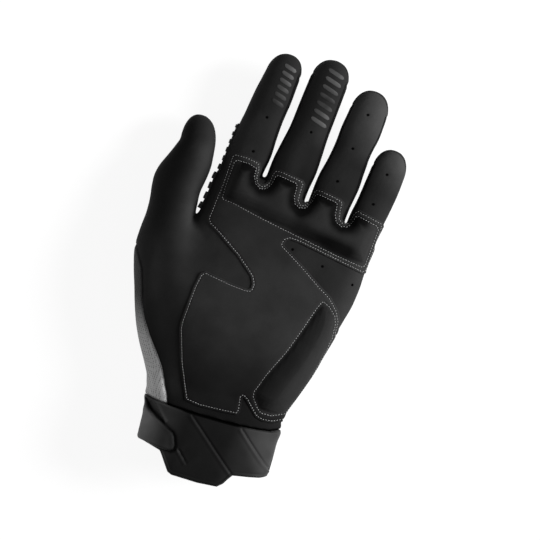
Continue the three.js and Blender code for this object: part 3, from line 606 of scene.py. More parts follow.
def piece(name, vertices, faces, material, slot, smooth_angle=50, tone=None):
    """A named object, flat where it meets the ground; tone lightens or darkens its colour."""
    SOLIDS[name] = vertices, faces
    mesh = new_mesh(name, np.maximum(world(vertices), (-np.inf, -np.inf, 0)), faces)
    for polygon in mesh.polygons:
        polygon.use_smooth = True
    mesh.set_sharp_from_angle(angle=math.radians(smooth_angle))
    if tone is not None:
        layer = mesh.attributes.new("tone", "FLOAT", "POINT")
        layer.data.foreach_set("value", np.asarray(tone, np.float32))
    mesh.materials.append(material)
    thing = placed(name, mesh)
    return thing


def bend_with(thing, name):
    """Bakes the placing of a piece of a digit into its mesh."""
    d = DIGITS[name]
    y = d["bend"]
    lean = 0 if name == "thumb" else LEAN
    step = np.array([math.sin(lean), math.cos(lean), 0]) * BLEND_REACH
    middle = np.array([digit_centre(name, y), y, curve(SEAM_HEIGHTS, y)])
    tuple(world(middle - step))
    tuple(world(middle + step))
    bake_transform(thing)


# Materials
class Graph:
    """The shader nodes of a material or the world."""

    def __init__(self, owner):
        owner.use_nodes = True
        self.nodes, self.links = owner.node_tree.nodes, owner.node_tree.links

    def add(self, kind, **values):
        n = self.nodes.new("ShaderNode" + kind)
        for key, value in values.items():
            if key in n.inputs:
                n.inputs[key].default_value = value
            else:
                setattr(n, key, value)
        return n

    def texture(self, kind, size, **values):
        """A texture on object coordinates, with one unit to that many millimetres."""
        mapping = self.add("Mapping", Scale=(1 / (MM * size),) * 3)
        self.links.new(self.add("TexCoord").outputs["Object"], mapping.inputs["Vector"])
        n = self.add(kind, **values)
        self.links.new(mapping.outputs["Vector"], n.inputs["Vector"])
        return n

    def noise(self, size, detail=2.0):
        return self.texture("TexNoise", size, Scale=1.0, Detail=detail).outputs["Fac"]

    def ramp(self, source, low, high, start=0.0, end=1.0):
        r = self.add("MapRange")
        for key, value in (("From Min", start), ("From Max", end), ("To Min", low), ("To Max", high)):
            r.inputs[key].default_value = value
        self.links.new(source, r.inputs["Value"])
        return r.outputs["Result"]

    def combine(self, operation, first, second):
        m = self.add("Math", operation=operation)
        for k, value in enumerate((first, second)):
            if isinstance(value, (int, float)):
                m.inputs[k].default_value = value
            else:
                self.links.new(value, m.inputs[k])
        return m.outputs[0]

    def paint(self, shader, factor, low, high):
        """Links a mix of two greys to the shader, scaled by the piece's tone."""
        m = self.add("Mix", data_type="RGBA")
        m.inputs[6].default_value = (low, low, low, 1)
        m.inputs[7].default_value = (high, high, high, 1)
        self.links.new(factor, m.inputs[0])
        tone = self.add("Attribute", attribute_name="tone")
        scale = self.add("VectorMath", operation="SCALE")
        self.links.new(m.outputs[2], scale.inputs[0])
        self.links.new(self.combine("ADD", tone.outputs["Fac"], 1.0), scale.inputs["Scale"])
        self.links.new(scale.outputs[0], shader.inputs["Base Color"])

    def bump(self, shader, height, strength, distance):
        b = self.add("Bump", Strength=strength, Distance=distance * MM)
        self.links.new(height, b.inputs["Height"])
        self.links.new(b.outputs["Normal"], shader.inputs["Normal"])


def leather_nodes(g, shader, dark, light):
    cells = g.texture("TexVoronoi", 0.7, feature="DISTANCE_TO_EDGE", Scale=1.0)
    broad = g.noise(14, 3.0)
    nap = g.ramp(g.noise(0.55, 3.0), -0.25, 0.25, 0.3, 0.7)
    g.paint(shader, g.combine("ADD", g.ramp(broad, 0, 1, 0.35, 0.65), nap), dark, light)
    g.links.new(g.ramp(broad, 0.62, 0.74, 0.3, 0.7), shader.inputs["Roughness"])
    grain = g.ramp(cells.outputs["Distance"], 0, 1, 0, 0.12)
    g.bump(shader, g.combine("ADD", grain, g.noise(0.9, 4.0)), 0.3, 0.1)


def knit_nodes(g, shader, dark, light, pitch=0.9, strength=0.6):
    rows = g.texture("TexWave", pitch, bands_direction="X", Scale=0.5, Distortion=1.2)
    columns = g.texture("TexWave", pitch, bands_direction="Y", Scale=0.5)
    height = g.combine("MULTIPLY", rows.outputs["Fac"], columns.outputs["Fac"])
    g.paint(shader, height, dark, light)
    g.bump(shader, height, strength, 0.2)


def mesh_nodes(g, shader, dark, light):
    cells = g.texture("TexVoronoi", 1.1, feature="F1", Scale=1.0, Randomness=0.12)
    opened = g.ramp(cells.outputs["Distance"], 0, 1, 0.2, 0.4)
    g.paint(shader, opened, dark, light)
    g.bump(shader, opened, 0.6, 0.2)


def rubber_nodes(g, shader, dark, light, grain=0.35, strength=0.2):
    g.paint(shader, g.ramp(g.noise(11), 0, 1, 0.35, 0.65), dark, light)
    g.bump(shader, g.noise(grain, 3.0), strength, 0.08)


def material(name, nodes_of, looks, roughness, specular=0.3, sheen=0.0):
    """A material; looks are its darkest and lightest grey, then the size and strength of its relief."""
    m = bpy.data.materials.new(name)
    g = Graph(m)
    shader = g.nodes["Principled BSDF"]
    shader.inputs["Roughness"].default_value = roughness
    shader.inputs["Specular IOR Level"].default_value = specular
    shader.inputs["Sheen Weight"].default_value = sheen
    nodes_of(g, shader, *looks)
    return m


LEATHER = material("leather", leather_nodes, (0.0145, 0.019), 0.66, 0.03)
OVERLAY_LEATHER = material("overlay_leather", leather_nodes, (0.017, 0.022), 0.66, 0.03)
KNIT = material("knit", knit_nodes, (0.005, 0.018), 0.85, 0.06, 0.02)
MESH = material("gusset_mesh", mesh_nodes, (0.08, 0.3), 0.8, 0.1, 0.05)
RUBBER = material("rubber", rubber_nodes, (0.004, 0.007), 0.45, 0.15)
CUFF_RUBBER = material("cuff_rubber", rubber_nodes, (0.02, 0.0255), 0.55, 0.05)
SILICONE = material("silicone", rubber_nodes, (0.035, 0.045), 0.55, 0.12)
THREAD = material("thread", knit_nodes, (0.38, 0.52, 0.3, 0.3), 0.7, 0.1)
# Near black, the painted shade inside a punched hole
HOLE_PAINTED_SHADE = material("hole_painted_shade", rubber_nodes, (0.001, 0.002), 0.95, 0.0)
HOOK = material("hook_tape", rubber_nodes, (0.008, 0.015, 0.8, 0.8), 0.7)
LOOP = material("loop_tape", rubber_nodes, (0.008, 0.016, 0.5, 0.9), 0.95, 0.2, 0.2)

# The glove's outer skin
base_v, base_f = union_skin([palm_tube()] + [digit_tube(n) for n in DIGITS], VOXEL)
base_v = relax(base_v, base_f, SMOOTH_ROUNDS)


def front_of(v):
    """Height over the line between the glove's front and its back."""
    return v[:, 2] - curve(SEAM_HEIGHTS, v[:, 1])


def between_marks(value, low, high, soft):
    """One between two places, fading to zero within soft beyond each."""
    return ease(value, low - soft, low) * fall(value, high, high + soft)


def crease_share(v):
    """Where the bases of the digits melt into the hand."""
    x, y = v[:, 0], v[:, 1]
    fingers = 0.5 * between_marks(y, 103, 121, 8) * between_marks(x, -35, 45, 6)
    thumb = between_marks(y, 12, 88, 12) * between_marks(x, -50, -34, 9)
    return np.maximum(fingers, thumb) * ease(np.abs(front_of(v)), 4, 7)


def cuff_swell(v):
    """The sewn-in edge puffs up beside the cuff, with a groove between them."""
    outline = np.where(front_of(v) > 0, -within(v, CUFF_PALM), -within(v, CUFF_BACK))
    high = ease(np.abs(front_of(v)), 5, 11)
    roll = 1.1 * bell(outline - 1.6, 1.8) * (1 - high)
    return ease(outline, 0.1, 1.2) * (1.7 * high * fall(outline, 4, 15) + roll)


base_v = relax(base_v, base_f, CREASE_ROUNDS, 0.5 * crease_share(base_v))
base_n = unit(relax(normals_of(base_v, base_f), base_f, NORMAL_ROUNDS))
web = line_distance(base_v, WEB_FOLD)
web_share = ease(front_of(base_v), 0, 5) * ease(base_v[:, 1], 80, 92)
grow = INSET + GROWTH + cuff_swell(base_v) - WEB_DEPTH * web_share * bell(web, WEB_WIDTH)
base_v = base_v + base_n * grow[:, None]
base_n = unit(relax(normals_of(base_v, base_f), base_f, NORMAL_ROUNDS))
DATA = np.hstack([base_v, base_n])
base_tree = tree_of(base_v, base_f)


def digit_centre(name, y):
    rows = DIGITS[name]["rows"]
    return (curve(rows, y, 1) + curve(rows, y, 2)) / 2


def between(first, second, y):
    return (curve(DIGITS[first]["rows"], y, 2) + curve(DIGITS[second]["rows"], y, 1)) / 2


PAIRS = list(zip(FINGERS, FINGERS[1:]))


def strip_outline(first, second):
    a, b = DIGITS[first]["side_end"], DIGITS[second]["side_end"]
    return [
        [digit_centre(first, STRIPS_Y), STRIPS_Y], [digit_centre(second, STRIPS_Y), STRIPS_Y],
        [digit_centre(second, b), b], [between(first, second, b), b],
        [between(first, second, a), a], [digit_centre(first, a), a]]


def strip_field(v, first, second):
    return np.minimum(SIDE_STRIP - np.abs(front_of(v)), within(v, strip_outline(first, second)))


def digit_corridor(v, name):
    """Above zero in a finger's own share of the plan."""
    k = FINGERS.index(name)
    x, y = v[:, 0], v[:, 1]
    left = x - INDEX_SIDE if k == 0 else x - between(FINGERS[k - 1], name, y)
    right = FAR_SIDE - x if k == 3 else between(name, FINGERS[k + 1], y) - x
    return np.minimum(left, right)


def digit_zone(v, name):
    """Above zero where a digit's own pieces are, cut flush from the hand's pieces."""
    side = THUMB_SIDE - v[:, 0] if name == "thumb" else digit_corridor(v, name)
    return np.minimum(v[:, 1] - DIGITS[name]["cut"], side)


def edge_of(v):
    """Height over the seam between front and back, which wraps round the fingertips."""
    lift = 0 * v[:, 0]
    for name in FINGERS:
        d = DIGITS[name]
        near = ease(v[:, 1], d["side_end"] - 4, d["tip"][1] - 3)
        lift = np.where(digit_corridor(v, name) > 0, d["wrap"] * near, lift)
    return front_of(v) - lift


def all_strips(v):
    return np.max([strip_field(v, *pair) for pair in PAIRS], axis=0)


def all_digits(v):
    return np.max([digit_zone(v, name) for name in DIGITS], axis=0)


def sheet(field_of, rounds=0):
    """The skin where field_of is above zero, as points, normals and triangles."""
    keep = (field_of(base_v)[base_f] > -MARGIN).any(axis=1)
    data, faces = compact(DATA, base_f[keep])
    for _ in range(rounds):
        data, faces = subdivide(data, faces)
    data, faces = clip(data, faces, field_of(data[:, :3]))
    return data[:, :3], unit(data[:, 3:6]), faces


def panel(name, field_of, material, slot, outer=0.0, inner=-SKIN, seam_of=None, tone_of=None,
          rounds=0, dip=0.55, dip_width=1.3, lean=1.0):
    """A sheet of the skin made solid between two heights. seam_of gives the distance to sewn edges."""
    v, n, faces = sheet(field_of, rounds)
    n = unit(n * (1, lean, 1))
    out = outer(v) if callable(outer) else np.full(len(v), outer)
    low = inner(v) if callable(inner) else np.full(len(v), inner)
    tone = tone_of(v) if tone_of else np.zeros(len(v))
    if seam_of is not None:
        near = bell(np.maximum(seam_of(v), 0), dip_width)
        # Painted shade in the seam's groove
        out = out - dip * near
        tone = tone - SEAM_SHADE * near
    solid = closed(v + n * out[:, None], v + n * low[:, None], faces)
    return piece(name, *solid, material, slot, tone=np.concatenate([tone, tone]))


def on_hand(thing, *nodes):
    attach(thing, "hand")
    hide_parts(*nodes)


# Palm, back and gusset
def cuff_shadow(v):
    outline = -within(v, CUFF_PALM)
    return -CUFF_SHADE * fall(outline, 0.3, 1.1) * (front_of(v) > 0)


def vent_distance(v):
    return least(*[np.hypot(v[:, 0] - x, v[:, 1] - y) for group in VENTS.values() for x, y in group])


def leather_outer(v):
    return 0.12 * waves(v, 19, 5) - 0.16 * bell(vent_distance(v), 1.1)


def wrist_painted_shade(v):
    """Painted shade, darker towards the wrist, and painted light across the middle of the palm."""
    return 0.36 * bell(v[:, 1] - 62, 26) - 0.58 * fall(v[:, 1], 8, 54)


def leather_tone(v):
    """Lighter at the ring and little fingertips; painted highlights along the thumb's lit side, beside
    the thumb's crotch and on the right of the palm; painted shade along the thumb's mound, dark between
    the mounds and beside the cuff; painted light and shade on the sides of the fingers.
    """
    x, y = v[:, 0], v[:, 1]
    tips = np.maximum(ease(y, 150, 182) * ease(x, 8, 14), ease(y, 141, 160) * ease(x, 33, 36))
    # Lighter fingertips, and painted highlights along the thumb's lit side, on the right of the palm and
    # beside the thumb's crotch
    light = 1.6 * tips + 0.55 * bell(line_distance(v, THUMB_PAINTED_HIGHLIGHT), 5)
    light = light + 0.35 * ease(x, 40, 50) * (y < 100) + 0.65 * spot(v, -36, 90, 9)
    # Painted shade along the thumb's mound, turning to painted light near the wrist, and painted shade
    # between the mounds
    thumb_shade_strength = 1.15 * ease(y, 8, 58) - 0.45
    sunk = thumb_shade_strength * bell(line_distance(v, THUMB_PAINTED_SHADE), 8.5) + 0.35 * spot(v, 34, 88, 14)
    # Painted shade on each finger's right side and painted light on its left
    for name, (right, left) in FINGER_PAINTED_SIDES.items():
        across = x - digit_centre(name, y)
        share = ease(digit_corridor(v, name), 0, 1) * between_marks(y, 136, 150, 12)
        sunk = sunk + share * right * ease(across, -1, 7)
        light = light + share * left * ease(-across, 1, 8)
    return light - np.minimum(sunk, 0.8) + wrist_painted_shade(v) + cuff_shadow(v) + 0.1 * waves(v, 30, 11)


def palm_seams(v):
    return least(edge_of(v), -gusset_field(v), -all_strips(v))


def knuckle_seam(v):
    return v[:, 1] - (KNUCKLE_Y + KNUCKLE_SLANT * v[:, 0])


def back_seams(v):
    return least(-edge_of(v), -gusset_field(v), -within(v, THUMB_BACK), -knuckle_seam(v), -all_strips(v))


def above_start(v):
    return v[:, 1] - SKIN_START


def gusset_field(v):
    return within(v, GUSSET)


def gusset_tone(v):
    return 0.85 - 1.65 * ease(v[:, 1], 20, 50) + cuff_shadow(v)


palm = panel(
    "palm_panel_skin", lambda v: least(palm_seams(v), above_start(v), -all_digits(v)),
    LEATHER, "leather", leather_outer, seam_of=palm_seams, tone_of=leather_tone)
back = panel("back_panel_skin", where_both(back_seams, above_start), KNIT, "knit", seam_of=back_seams)
gusset = panel(
    "wrist_gusset_skin", where_both(gusset_field, above_start), MESH, "mesh", -0.1,
    seam_of=gusset_field, tone_of=gusset_tone, rounds=1, dip=0.7, dip_width=0.8)
on_hand(palm, "palm_panel")
on_hand(back, "back_panel")
on_hand(gusset, "wrist_gusset")


# Digits
def tip_tone(v, name):
    """The end of a finger's back is as light as its front."""
    if name == "thumb":
        return 0 * v[:, 0]
    d = DIGITS[name]
    return 1.2 * ease(v[:, 1], d["side_end"] - 6, d["side_end"] + 2) * (1 + 0.5 * (d["wrap"] > 2.6))


for name in DIGITS:
    thumb = name == "thumb"

    def zone(v):
        return digit_zone(v, name)

    def rear_seams(v):
        edge = within(v, THUMB_BACK) if thumb else knuckle_seam(v)
        return least(-edge_of(v), -all_strips(v), edge, -gusset_field(v))

    def rear_zone(v):
        return within(v, THUMB_BACK) if thumb else digit_corridor(v, name)

    front = panel(
        f"{name}_front_skin", where_both(palm_seams, zone), LEATHER, "leather", leather_outer,
        seam_of=palm_seams, tone_of=leather_tone, rounds=1, dip=0.45, dip_width=0.8)
    rear = panel(
        f"{name}_back_skin", where_both(rear_seams, rear_zone), KNIT, "knit", seam_of=rear_seams,
        tone_of=lambda v: tip_tone(v, name), dip=0.3, dip_width=0.8)
    bend_with(front, name)
    bend_with(rear, name)
    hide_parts(f"{name}_tip_front")
    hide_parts(f"{name}_tip_back", f"{name}_back_panel")

for first, second in PAIRS:
    def strip_of_pair(v):
        return strip_field(v, first, second)

    for name, other in ((first, second), (second, first)):
        strip = panel(
            f"{name}_side_by_{other}", where_both(strip_of_pair, lambda v: digit_zone(v, name)), KNIT,
            "knit", seam_of=strip_of_pair, dip=0.35)
        bend_with(strip, name)
        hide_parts(f"{name}_tip_side_{other}")
    crotch = panel(
        f"{first}_{second}_crotch", where_both(strip_of_pair, lambda v: -all_digits(v)), KNIT, "knit",
        seam_of=strip_of_pair)
    on_hand(crotch, f"{first}_{second}_side_strip")


# Palm overlay and its pads
def grown(outline, distance):
    """An outline moved outwards by a distance."""
    pts = np.asarray(outline, float)
    area = 0.5 * np.sum(pts[:, 0] * np.roll(pts[:, 1], -1) - np.roll(pts[:, 0], -1) * pts[:, 1])
    before, after = pts - np.roll(pts, 1, axis=0), np.roll(pts, -1, axis=0) - pts
    a = unit(np.stack([before[:, 1], -before[:, 0]], axis=1))
    b = unit(np.stack([after[:, 1], -after[:, 0]], axis=1))
    n = unit(a + b)
    stretch = distance / np.maximum((n * a).sum(axis=1), 0.6)
    return pts + n * (stretch * np.sign(area))[:, None]


def crown(depth, ramp_length):
    """Climb from just inside an edge to full height."""
    return ease(depth, 0.4, ramp_length)


SIM_SCALE = 0.01
PAD_FLOOR, PAD_TOP, PAD_VOXEL, PAD_PINNED = -5.0, 1.5, 2.2, 0.4
PAD_PRESSURE, PAD_FRAMES, PAD_SHARE = 4.0, 20, 0.6


def inflated(name, outline):
    """Plan heights, 0 to 1, of a pad's cover blown up over its outline by a cloth simulation."""
    form = bmesh.new()
    low = [form.verts.new((x * SIM_SCALE, y * SIM_SCALE, PAD_FLOOR * SIM_SCALE)) for x, y in outline]
    raised = bmesh.ops.extrude_face_region(form, geom=[form.faces.new(low)])
    top = [g for g in raised["geom"] if isinstance(g, bmesh.types.BMVert)]
    bmesh.ops.translate(form, verts=top, vec=(0, 0, (PAD_TOP - PAD_FLOOR) * SIM_SCALE))
    bmesh.ops.recalc_face_normals(form, faces=form.faces)
    mesh = bpy.data.meshes.new(name)
    form.to_mesh(mesh)
    form.free()
    mesh = remeshed(mesh, PAD_VOXEL * SIM_SCALE)
    pad = placed(name, mesh)
    heights = arrays_of(mesh)[0][:, 2] / SIM_SCALE
    pinned = pad.vertex_groups.new(name="pinned")
    pinned.add([int(i) for i in np.where(heights < PAD_PINNED)[0]], 1.0, "REPLACE")
    cloth = pad.modifiers.new("cover", "CLOTH")
    settings = cloth.settings
    settings.quality = 6
    settings.mass = 0.3
    settings.use_pressure = True
    settings.uniform_pressure_force = PAD_PRESSURE
    settings.effector_weights.gravity = 0.0
    settings.vertex_group_mass = "pinned"
    cloth.collision_settings.use_collision = False
    cloth.point_cache.frame_start = 1
    cloth.point_cache.frame_end = PAD_FRAMES
    for step in range(1, PAD_FRAMES + 1):
        bpy.context.scene.frame_set(step)
    depsgraph = bpy.context.evaluated_depsgraph_get()
    blown = bpy.data.meshes.new_from_object(pad.evaluated_get(depsgraph))
    v, f = arrays_of(blown)
    bpy.data.objects.remove(pad)
    bpy.data.meshes.remove(blown)
    bpy.context.scene.frame_set(1)
    v = relax(v / SIM_SCALE, f, 2)
    tree = tree_of(v, f)
    tallest = np.percentile(v[v[:, 2] > PAD_TOP, 2], 92)

    def height_at(points):
        result = np.zeros(len(points))
        for k in np.where(within(points, outline) > 0)[0]:
            hit, _ = cast(tree, (points[k, 0], points[k, 1], 60))
            result[k] = 0 if hit is None else hit[2]
        return np.clip((result - PAD_PINNED) / (tallest - PAD_PINNED), 0, 1.1)

    return height_at


def pad_profile(name, outline, ramp_length):
    """Share of a pad's full height at points in plan: blown-up cover and firm edge together."""
    def firm(v):
        return crown(within(v, outline), ramp_length)

    blown = inflated(name, outline)
    return lambda v: PAD_SHARE * blown(v) + (1 - PAD_SHARE) * firm(v)


base_profile = pad_profile("finger_base_cover", BASE_FOAM, BASE_RAMP)
heel_profile = pad_profile("heel_cover", HEEL_FOAM, HEEL_RAMP)


def overlay_field(v):
    outline = within(v, grown(OVERLAY, OVERLAY_HEM))
    return least(outline, front_of(v) - 0.2, -all_strips(v) - 0.2)


def pad_height(v):
    facing = ease(front_of(v), 0, 8)
    return (BASE_RISE * base_profile(v) + HEEL_RISE * heel_profile(v)) * facing


SEWN_LINES = [OVERLAY, BASE_FOAM, HEEL_FOAM]


def overlay_outer(v):
    """Raised by the pads and drawn in along the sewn lines."""
    full = OVERLAY_RIM + (OVERLAY_THICK - OVERLAY_RIM) * ease(front_of(v), 1, 9)
    lift = LAYER + full * rounded(overlay_field(v), 0.8, 0.2)
    sewn = least(*[line_distance(v, line, True) for line in SEWN_LINES])
    return lift + pad_height(v) - 0.3 * bell(sewn, 0.55) + 0.1 * waves(v, 16, 8)


def overlay_tone(v):
    """Painted shade where the pads are drawn down: rings round the crotches, a band below the finger pad,
    along its left edge and on the heel pad's left slope, which leaves their crests lighter; painted light
    on the right side; painted shade towards the wrist and a painted shadow beside the cuff.
    """
    x, y = v[:, 0], v[:, 1]
    base, heel = within(v, BASE_FOAM), within(v, HEEL_FOAM)
    crotch = least(*[np.hypot(x - cx, y - cy) for cx, cy in CROTCHES])
    # Painted shade round the crotches, below the finger pad, along its left edge and on the heel pad's
    # left slope
    rings = 0.95 * bell(base - 1.5, 3.3) * fall(crotch, 11.5, 15.5)
    low_edge = line_distance(v, BASE_FOAM[:6])
    along = 0.1 + 0.9 * ease(x, -2, 32)
    width = 3.4 + 0.9 * ease(x, 20, 34)
    pad_edge_shade = 0.92 * along * bell((low_edge - 4.2) / width, 1) * fall(x, 38, 46)
    left = 0.4 * bell(x + 30.6, 2.6) + 0.55 * spot(v, 8.5, 116, 4) - 0.35 * spot(v, -22, 115, 6)
    heel_left = line_distance(v, HEEL_FOAM[12:19])
    slope = 0.4 * ease(heel, 0, 1.5) * fall(heel_left, 5, 14)
    drawn = ease(base, -0.5, 0.4) * np.minimum(0.12 + rings + pad_edge_shade + left, 0.92) + slope
    # Painted shade towards the wrist, and painted light on the right side
    level = wrist_painted_shade(v) * fall(heel, -1, 1)
    return level - drawn + 0.25 * ease(x, 38, 50) + 0.1 * waves(v, 26, 13) + cuff_shadow(v)


overlay = panel(
    "palm_overlay_skin", overlay_field, OVERLAY_LEATHER, "leather", overlay_outer, LAYER - SUNK,
    tone_of=overlay_tone, rounds=1)
on_hand(overlay, "palm_overlay", "finger_base_foam", "heel_foam")


# Stitching
def resample(line, pitch):
    pts = np.asarray(line, float)
    pts = np.vstack([pts, pts[:1]])
    along = np.concatenate([[0], np.cumsum(np.hypot(*np.diff(pts, axis=0).T))])
    count = max(int(along[-1] / pitch), 1)
    s = (np.arange(count) + 0.5) * along[-1] / count
    return np.stack([np.interp(s, along, pts[:, k]) for k in range(2)], axis=1)


def thread_form(sides=5):
    """A short thread, one unit long and one across."""
    profile = ((-0.5, 0.35), (-0.3, 0.95), (0.3, 0.95), (0.5, 0.35))
    turns = [2 * math.pi * k / sides for k in range(sides)]
    v = np.array([(x, 0.5 * r * math.cos(t), 0.5 * r * math.sin(t)) for x, r in profile for t in turns])
    last = sides * (len(profile) - 1)
    ends = [f for k in range(1, sides - 1) for f in ((0, k + 1, k), (last, last + k, last + k + 1))]
    return v, np.vstack([halves(bands(len(profile), sides)), ends])


STITCH_PITCH, STITCH_LENGTH, STITCH_WIDTH, STITCH_LIFT = 1.5, 0.8, 0.31, 0.07


def stitches(lines, tree):
    """Threads along closed lines in plan, lying on what the tree holds."""
    form, form_faces = thread_form()
    solids = []
    for line in lines:
        places = resample(line, STITCH_PITCH)
        ahead = np.roll(places, -1, axis=0) - np.roll(places, 1, axis=0)
        for (x, y), direction in zip(places, ahead):
            p, n = cast(tree, (x, y, ABOVE))
            if p is None or n[2] < 0.12:
                continue
            d = np.array([*direction, 0])
            d = d - n * (d @ n)
            d /= np.linalg.norm(d)
            matrix = np.stack([d * STITCH_LENGTH, np.cross(n, d) * STITCH_WIDTH, n * STITCH_WIDTH])
            solids.append((form @ matrix + p + n * STITCH_LIFT, form_faces))
    return joined(solids)


seams = piece(
    "overlay_stitching", *stitches(SEWN_LINES, tree_of(*SOLIDS["palm_overlay_skin"])), THREAD, "leather")
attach(seams, "hand")

# Each ring of an air hole: its share of the hole's radius, and its height over the skin
VENT_RINGS = ((1, -0.4), (1, 0.06), (0.82, 0.1), (0.4, 0))


def vent_solids(places, sides=14):
    """Punched holes, each a small dish let into the leather and painted near black as the shade inside
    the hole.
    """
    solids = []
    angle = 2 * math.pi * np.arange(sides)[:, None] / sides
    for x, y in places:
        p, n = cast(base_tree, (x, y, ABOVE))
        side = unit(np.cross([n], [[0.0, 1.0, 0.0]]))[0]
        circle = np.cos(angle) * side + np.sin(angle) * np.cross(n, side)
        rings = np.array([p + circle * VENT_RADIUS * r + n * h for r, h in VENT_RINGS])
        v, quads, ends = loft(rings, p - n * 0.4, p - n * 0.02)
        solids.append((v, np.vstack([halves(quads), ends])))
    return joined(solids)


for name, places in VENTS.items():
    holes = piece(f"{name}_vents", *vent_solids(places), HOLE_PAINTED_SHADE, "leather")
    if name == "palm":
        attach(holes, "hand")
    else:
        bend_with(holes, name)


# Cuff
def cuff_relief(v):
    """Beads and grooves along the moulded lines, between softly crowned faces."""
    lift = 0 * v[:, 0]
    for line in CUFF_LINES:
        s, share = line_frame(v, line)
        on = ease(share, -0.03, 0.02) * fall(share, 0.98, 1.03)
        bead = ease(s, -2.4, -0.6) * fall(s, -0.5, 0.55)
        groove = ease(s, -0.5, 0.55) * fall(s, 0.6, 1.6)
        valley = 0.5 * bell((s - 1) / np.where(s > 1, 5.5, 3.0), 1) * between_marks(share, 0.3, 0.7, 0.3)
        lift = lift + on * (0.4 * bead - 0.5 * groove - valley)
    s, share = line_frame(v, CUFF_FOLD)
    on = ease(share, -0.03, 0.05) * fall(share, 0.95, 1.03)
    return lift + on * (0.55 * bell(s, 0.9) - 0.45 * bell(s + 1.6, 0.8))


def side_share(v):
    """One at the sides of the wrist, where the layers' edges are rounded off the most."""
    return fall(np.abs(front_of(v)), 2, 9)


def cuff_outer(v, outline, palm_side):
    depth = within(v, outline)
    width = 0.9 + 2.2 * side_share(v)
    lift = CUFF_LOW + CUFF_THICK * rounded(depth, width, 0.25)
    if palm_side:
        lift = lift + cuff_relief(v) * np.clip(depth / width, 0, 1)
    lower = fall(v[:, 1], -22, -19)
    return lift + 0.28 * lower * (bell(depth - 1.1, 0.5) - 0.6 * bell(depth - 2.1, 0.6))


def strap_shadow(v):
    """How near a point of the cuff is to the edge of the strap that lies on it."""
    return bell(np.maximum(-within(v, STRAP), 0), 1.0) * (front_of(v) > 0)


def cuff_tone(v):
    """Painted light towards the right and at the left end, painted shade at the rim and a painted shadow
    beside the strap.
    """
    x, y = v[:, 0], v[:, 1]
    # Painted shade along the rim, and painted light on the faces turned to the lamps
    rim = bell(within(v, CUFF_PALM), 0.6) * (front_of(v) > 0)
    cuff_painted_light = -0.74 + 0.35 * ease(x, 12, 20) + ease(x + 0.78 * y, 10, 24)
    cuff_painted_light = cuff_painted_light + 1.7 * fall(x, -26, -10) * (front_of(v) > 0)
    return cuff_painted_light - 0.85 * strap_shadow(v) - 0.6 * rim + 0.06 * waves(v, 17, 3)


for name, outline, side, node in (
        ("cuff_palm_half", CUFF_PALM, 1, "cuff_palm"), ("cuff_back_half", CUFF_BACK, -1, "cuff_back")):
    half = panel(
        name, lambda v: np.minimum(within(v, outline), side * front_of(v) - 0.15), CUFF_RUBBER,
        "cuff_rubber", lambda v: cuff_outer(v, outline, side > 0), CUFF_LOW, tone_of=cuff_tone,
        rounds=1, lean=UPRIGHT)
    on_hand(half, node)


# Strap and its patches
def strap_field(v):
    """The free end's outline on the front, and the sewn end's on the back."""
    share = ease(front_of(v), -6, -1)
    return share * within(v, STRAP) + (1 - share) * within(v, STRAP_ROOT)


def strap_lift(v):
    """The strap hugs the side of the wrist and climbs where it turns on to the palm."""
    corner = side_share(v) * ease(v[:, 1], -11, -5)
    climb = STRAP_CLIMB * ease(v[:, 0], -36, -28) * ease(front_of(v), 0, 5)
    return STRAP_LOW * (1 - 0.6 * corner) + climb


def strap_outer(v):
    depth = strap_field(v)
    thick = STRAP_THICK * (1 - 0.2 * ease(-front_of(v), 4, 10))
    domed = thick * rounded(depth, 1 + 2.4 * side_share(v), 0.3)
    return strap_lift(v) + domed - 0.15 * ease(depth, 1.4, 2.6)


def strap_tone(v):
    """Painted light along its left bend, with a painted shadow line along its upper edge."""
    upper = line_distance(v, STRAP[:10])
    # Painted light, strongest along the left bend
    level = 0.8 + ease(front_of(v), -6, 0) * (6.2 - 7 * ease(v[:, 0], -30, -18))
    return level - (level + 0.95) * bell(upper, 0.9) * (front_of(v) > -4)


strap = panel(
    "strap", strap_field, CUFF_RUBBER, "cuff_rubber", strap_outer, strap_lift, tone_of=strap_tone,
    rounds=1, lean=UPRIGHT)
tuple(world(STRAP_BEND[0]))
tuple(world(STRAP_BEND[1]))
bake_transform(strap)
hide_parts("closure_strap", "strap_anchor")

for name, outline, low, thick, surface, slot, body, node in (
        ("loop_tape", LOOP_PATCH, 2.75, 0.65, LOOP, "loop", "hand", "loop_patch"),
        ("hook_tape", HOOK_PATCH, 3.6, 0.7, HOOK, "hook", "strap", "hook_patch")):
    patch = panel(
        name, lambda v: np.minimum(within(v, outline), front_of(v) - 0.3), surface, slot,
        low + thick, low, rounds=1, lean=UPRIGHT)
    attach(patch, body)
    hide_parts(node)


# Knuckle guard
def guard_field(v):
    return np.minimum(within(v, GUARD), -front_of(v) - 1)


def guard_outer(v):
    """A dome over each knuckle in a ring groove, and a groove between neighbours."""
    depth = guard_field(v)
    lift = LAYER + GUARD_THICK * rounded(depth, GUARD_EDGE, 0.2)
    domes = 0 * v[:, 0]
    for x, y, rise in KNUCKLES:
        near = np.hypot(v[:, 0] - x, v[:, 1] - y)
        domes = np.maximum(domes, rise * crown(KNUCKLE_RADIUS - near, 7))
        lift = lift - 0.35 * bell(near - KNUCKLE_RADIUS - 0.8, 0.6)
    for (x0, y0, _), (x1, y1, _) in zip(KNUCKLES, KNUCKLES[1:]):
        lift = lift - 0.3 * bell(v[:, 0] - (x0 + x1) / 2, 0.6) * np.clip(depth / GUARD_EDGE, 0, 1)
    return lift + domes - 0.25 * bell(depth - 2.2, 0.5)


guard = panel(
    "knuckle_guard_shell", guard_field, RUBBER, "moulded_rubber", guard_outer, LAYER, rounds=1)
on_hand(guard, "knuckle_guard")

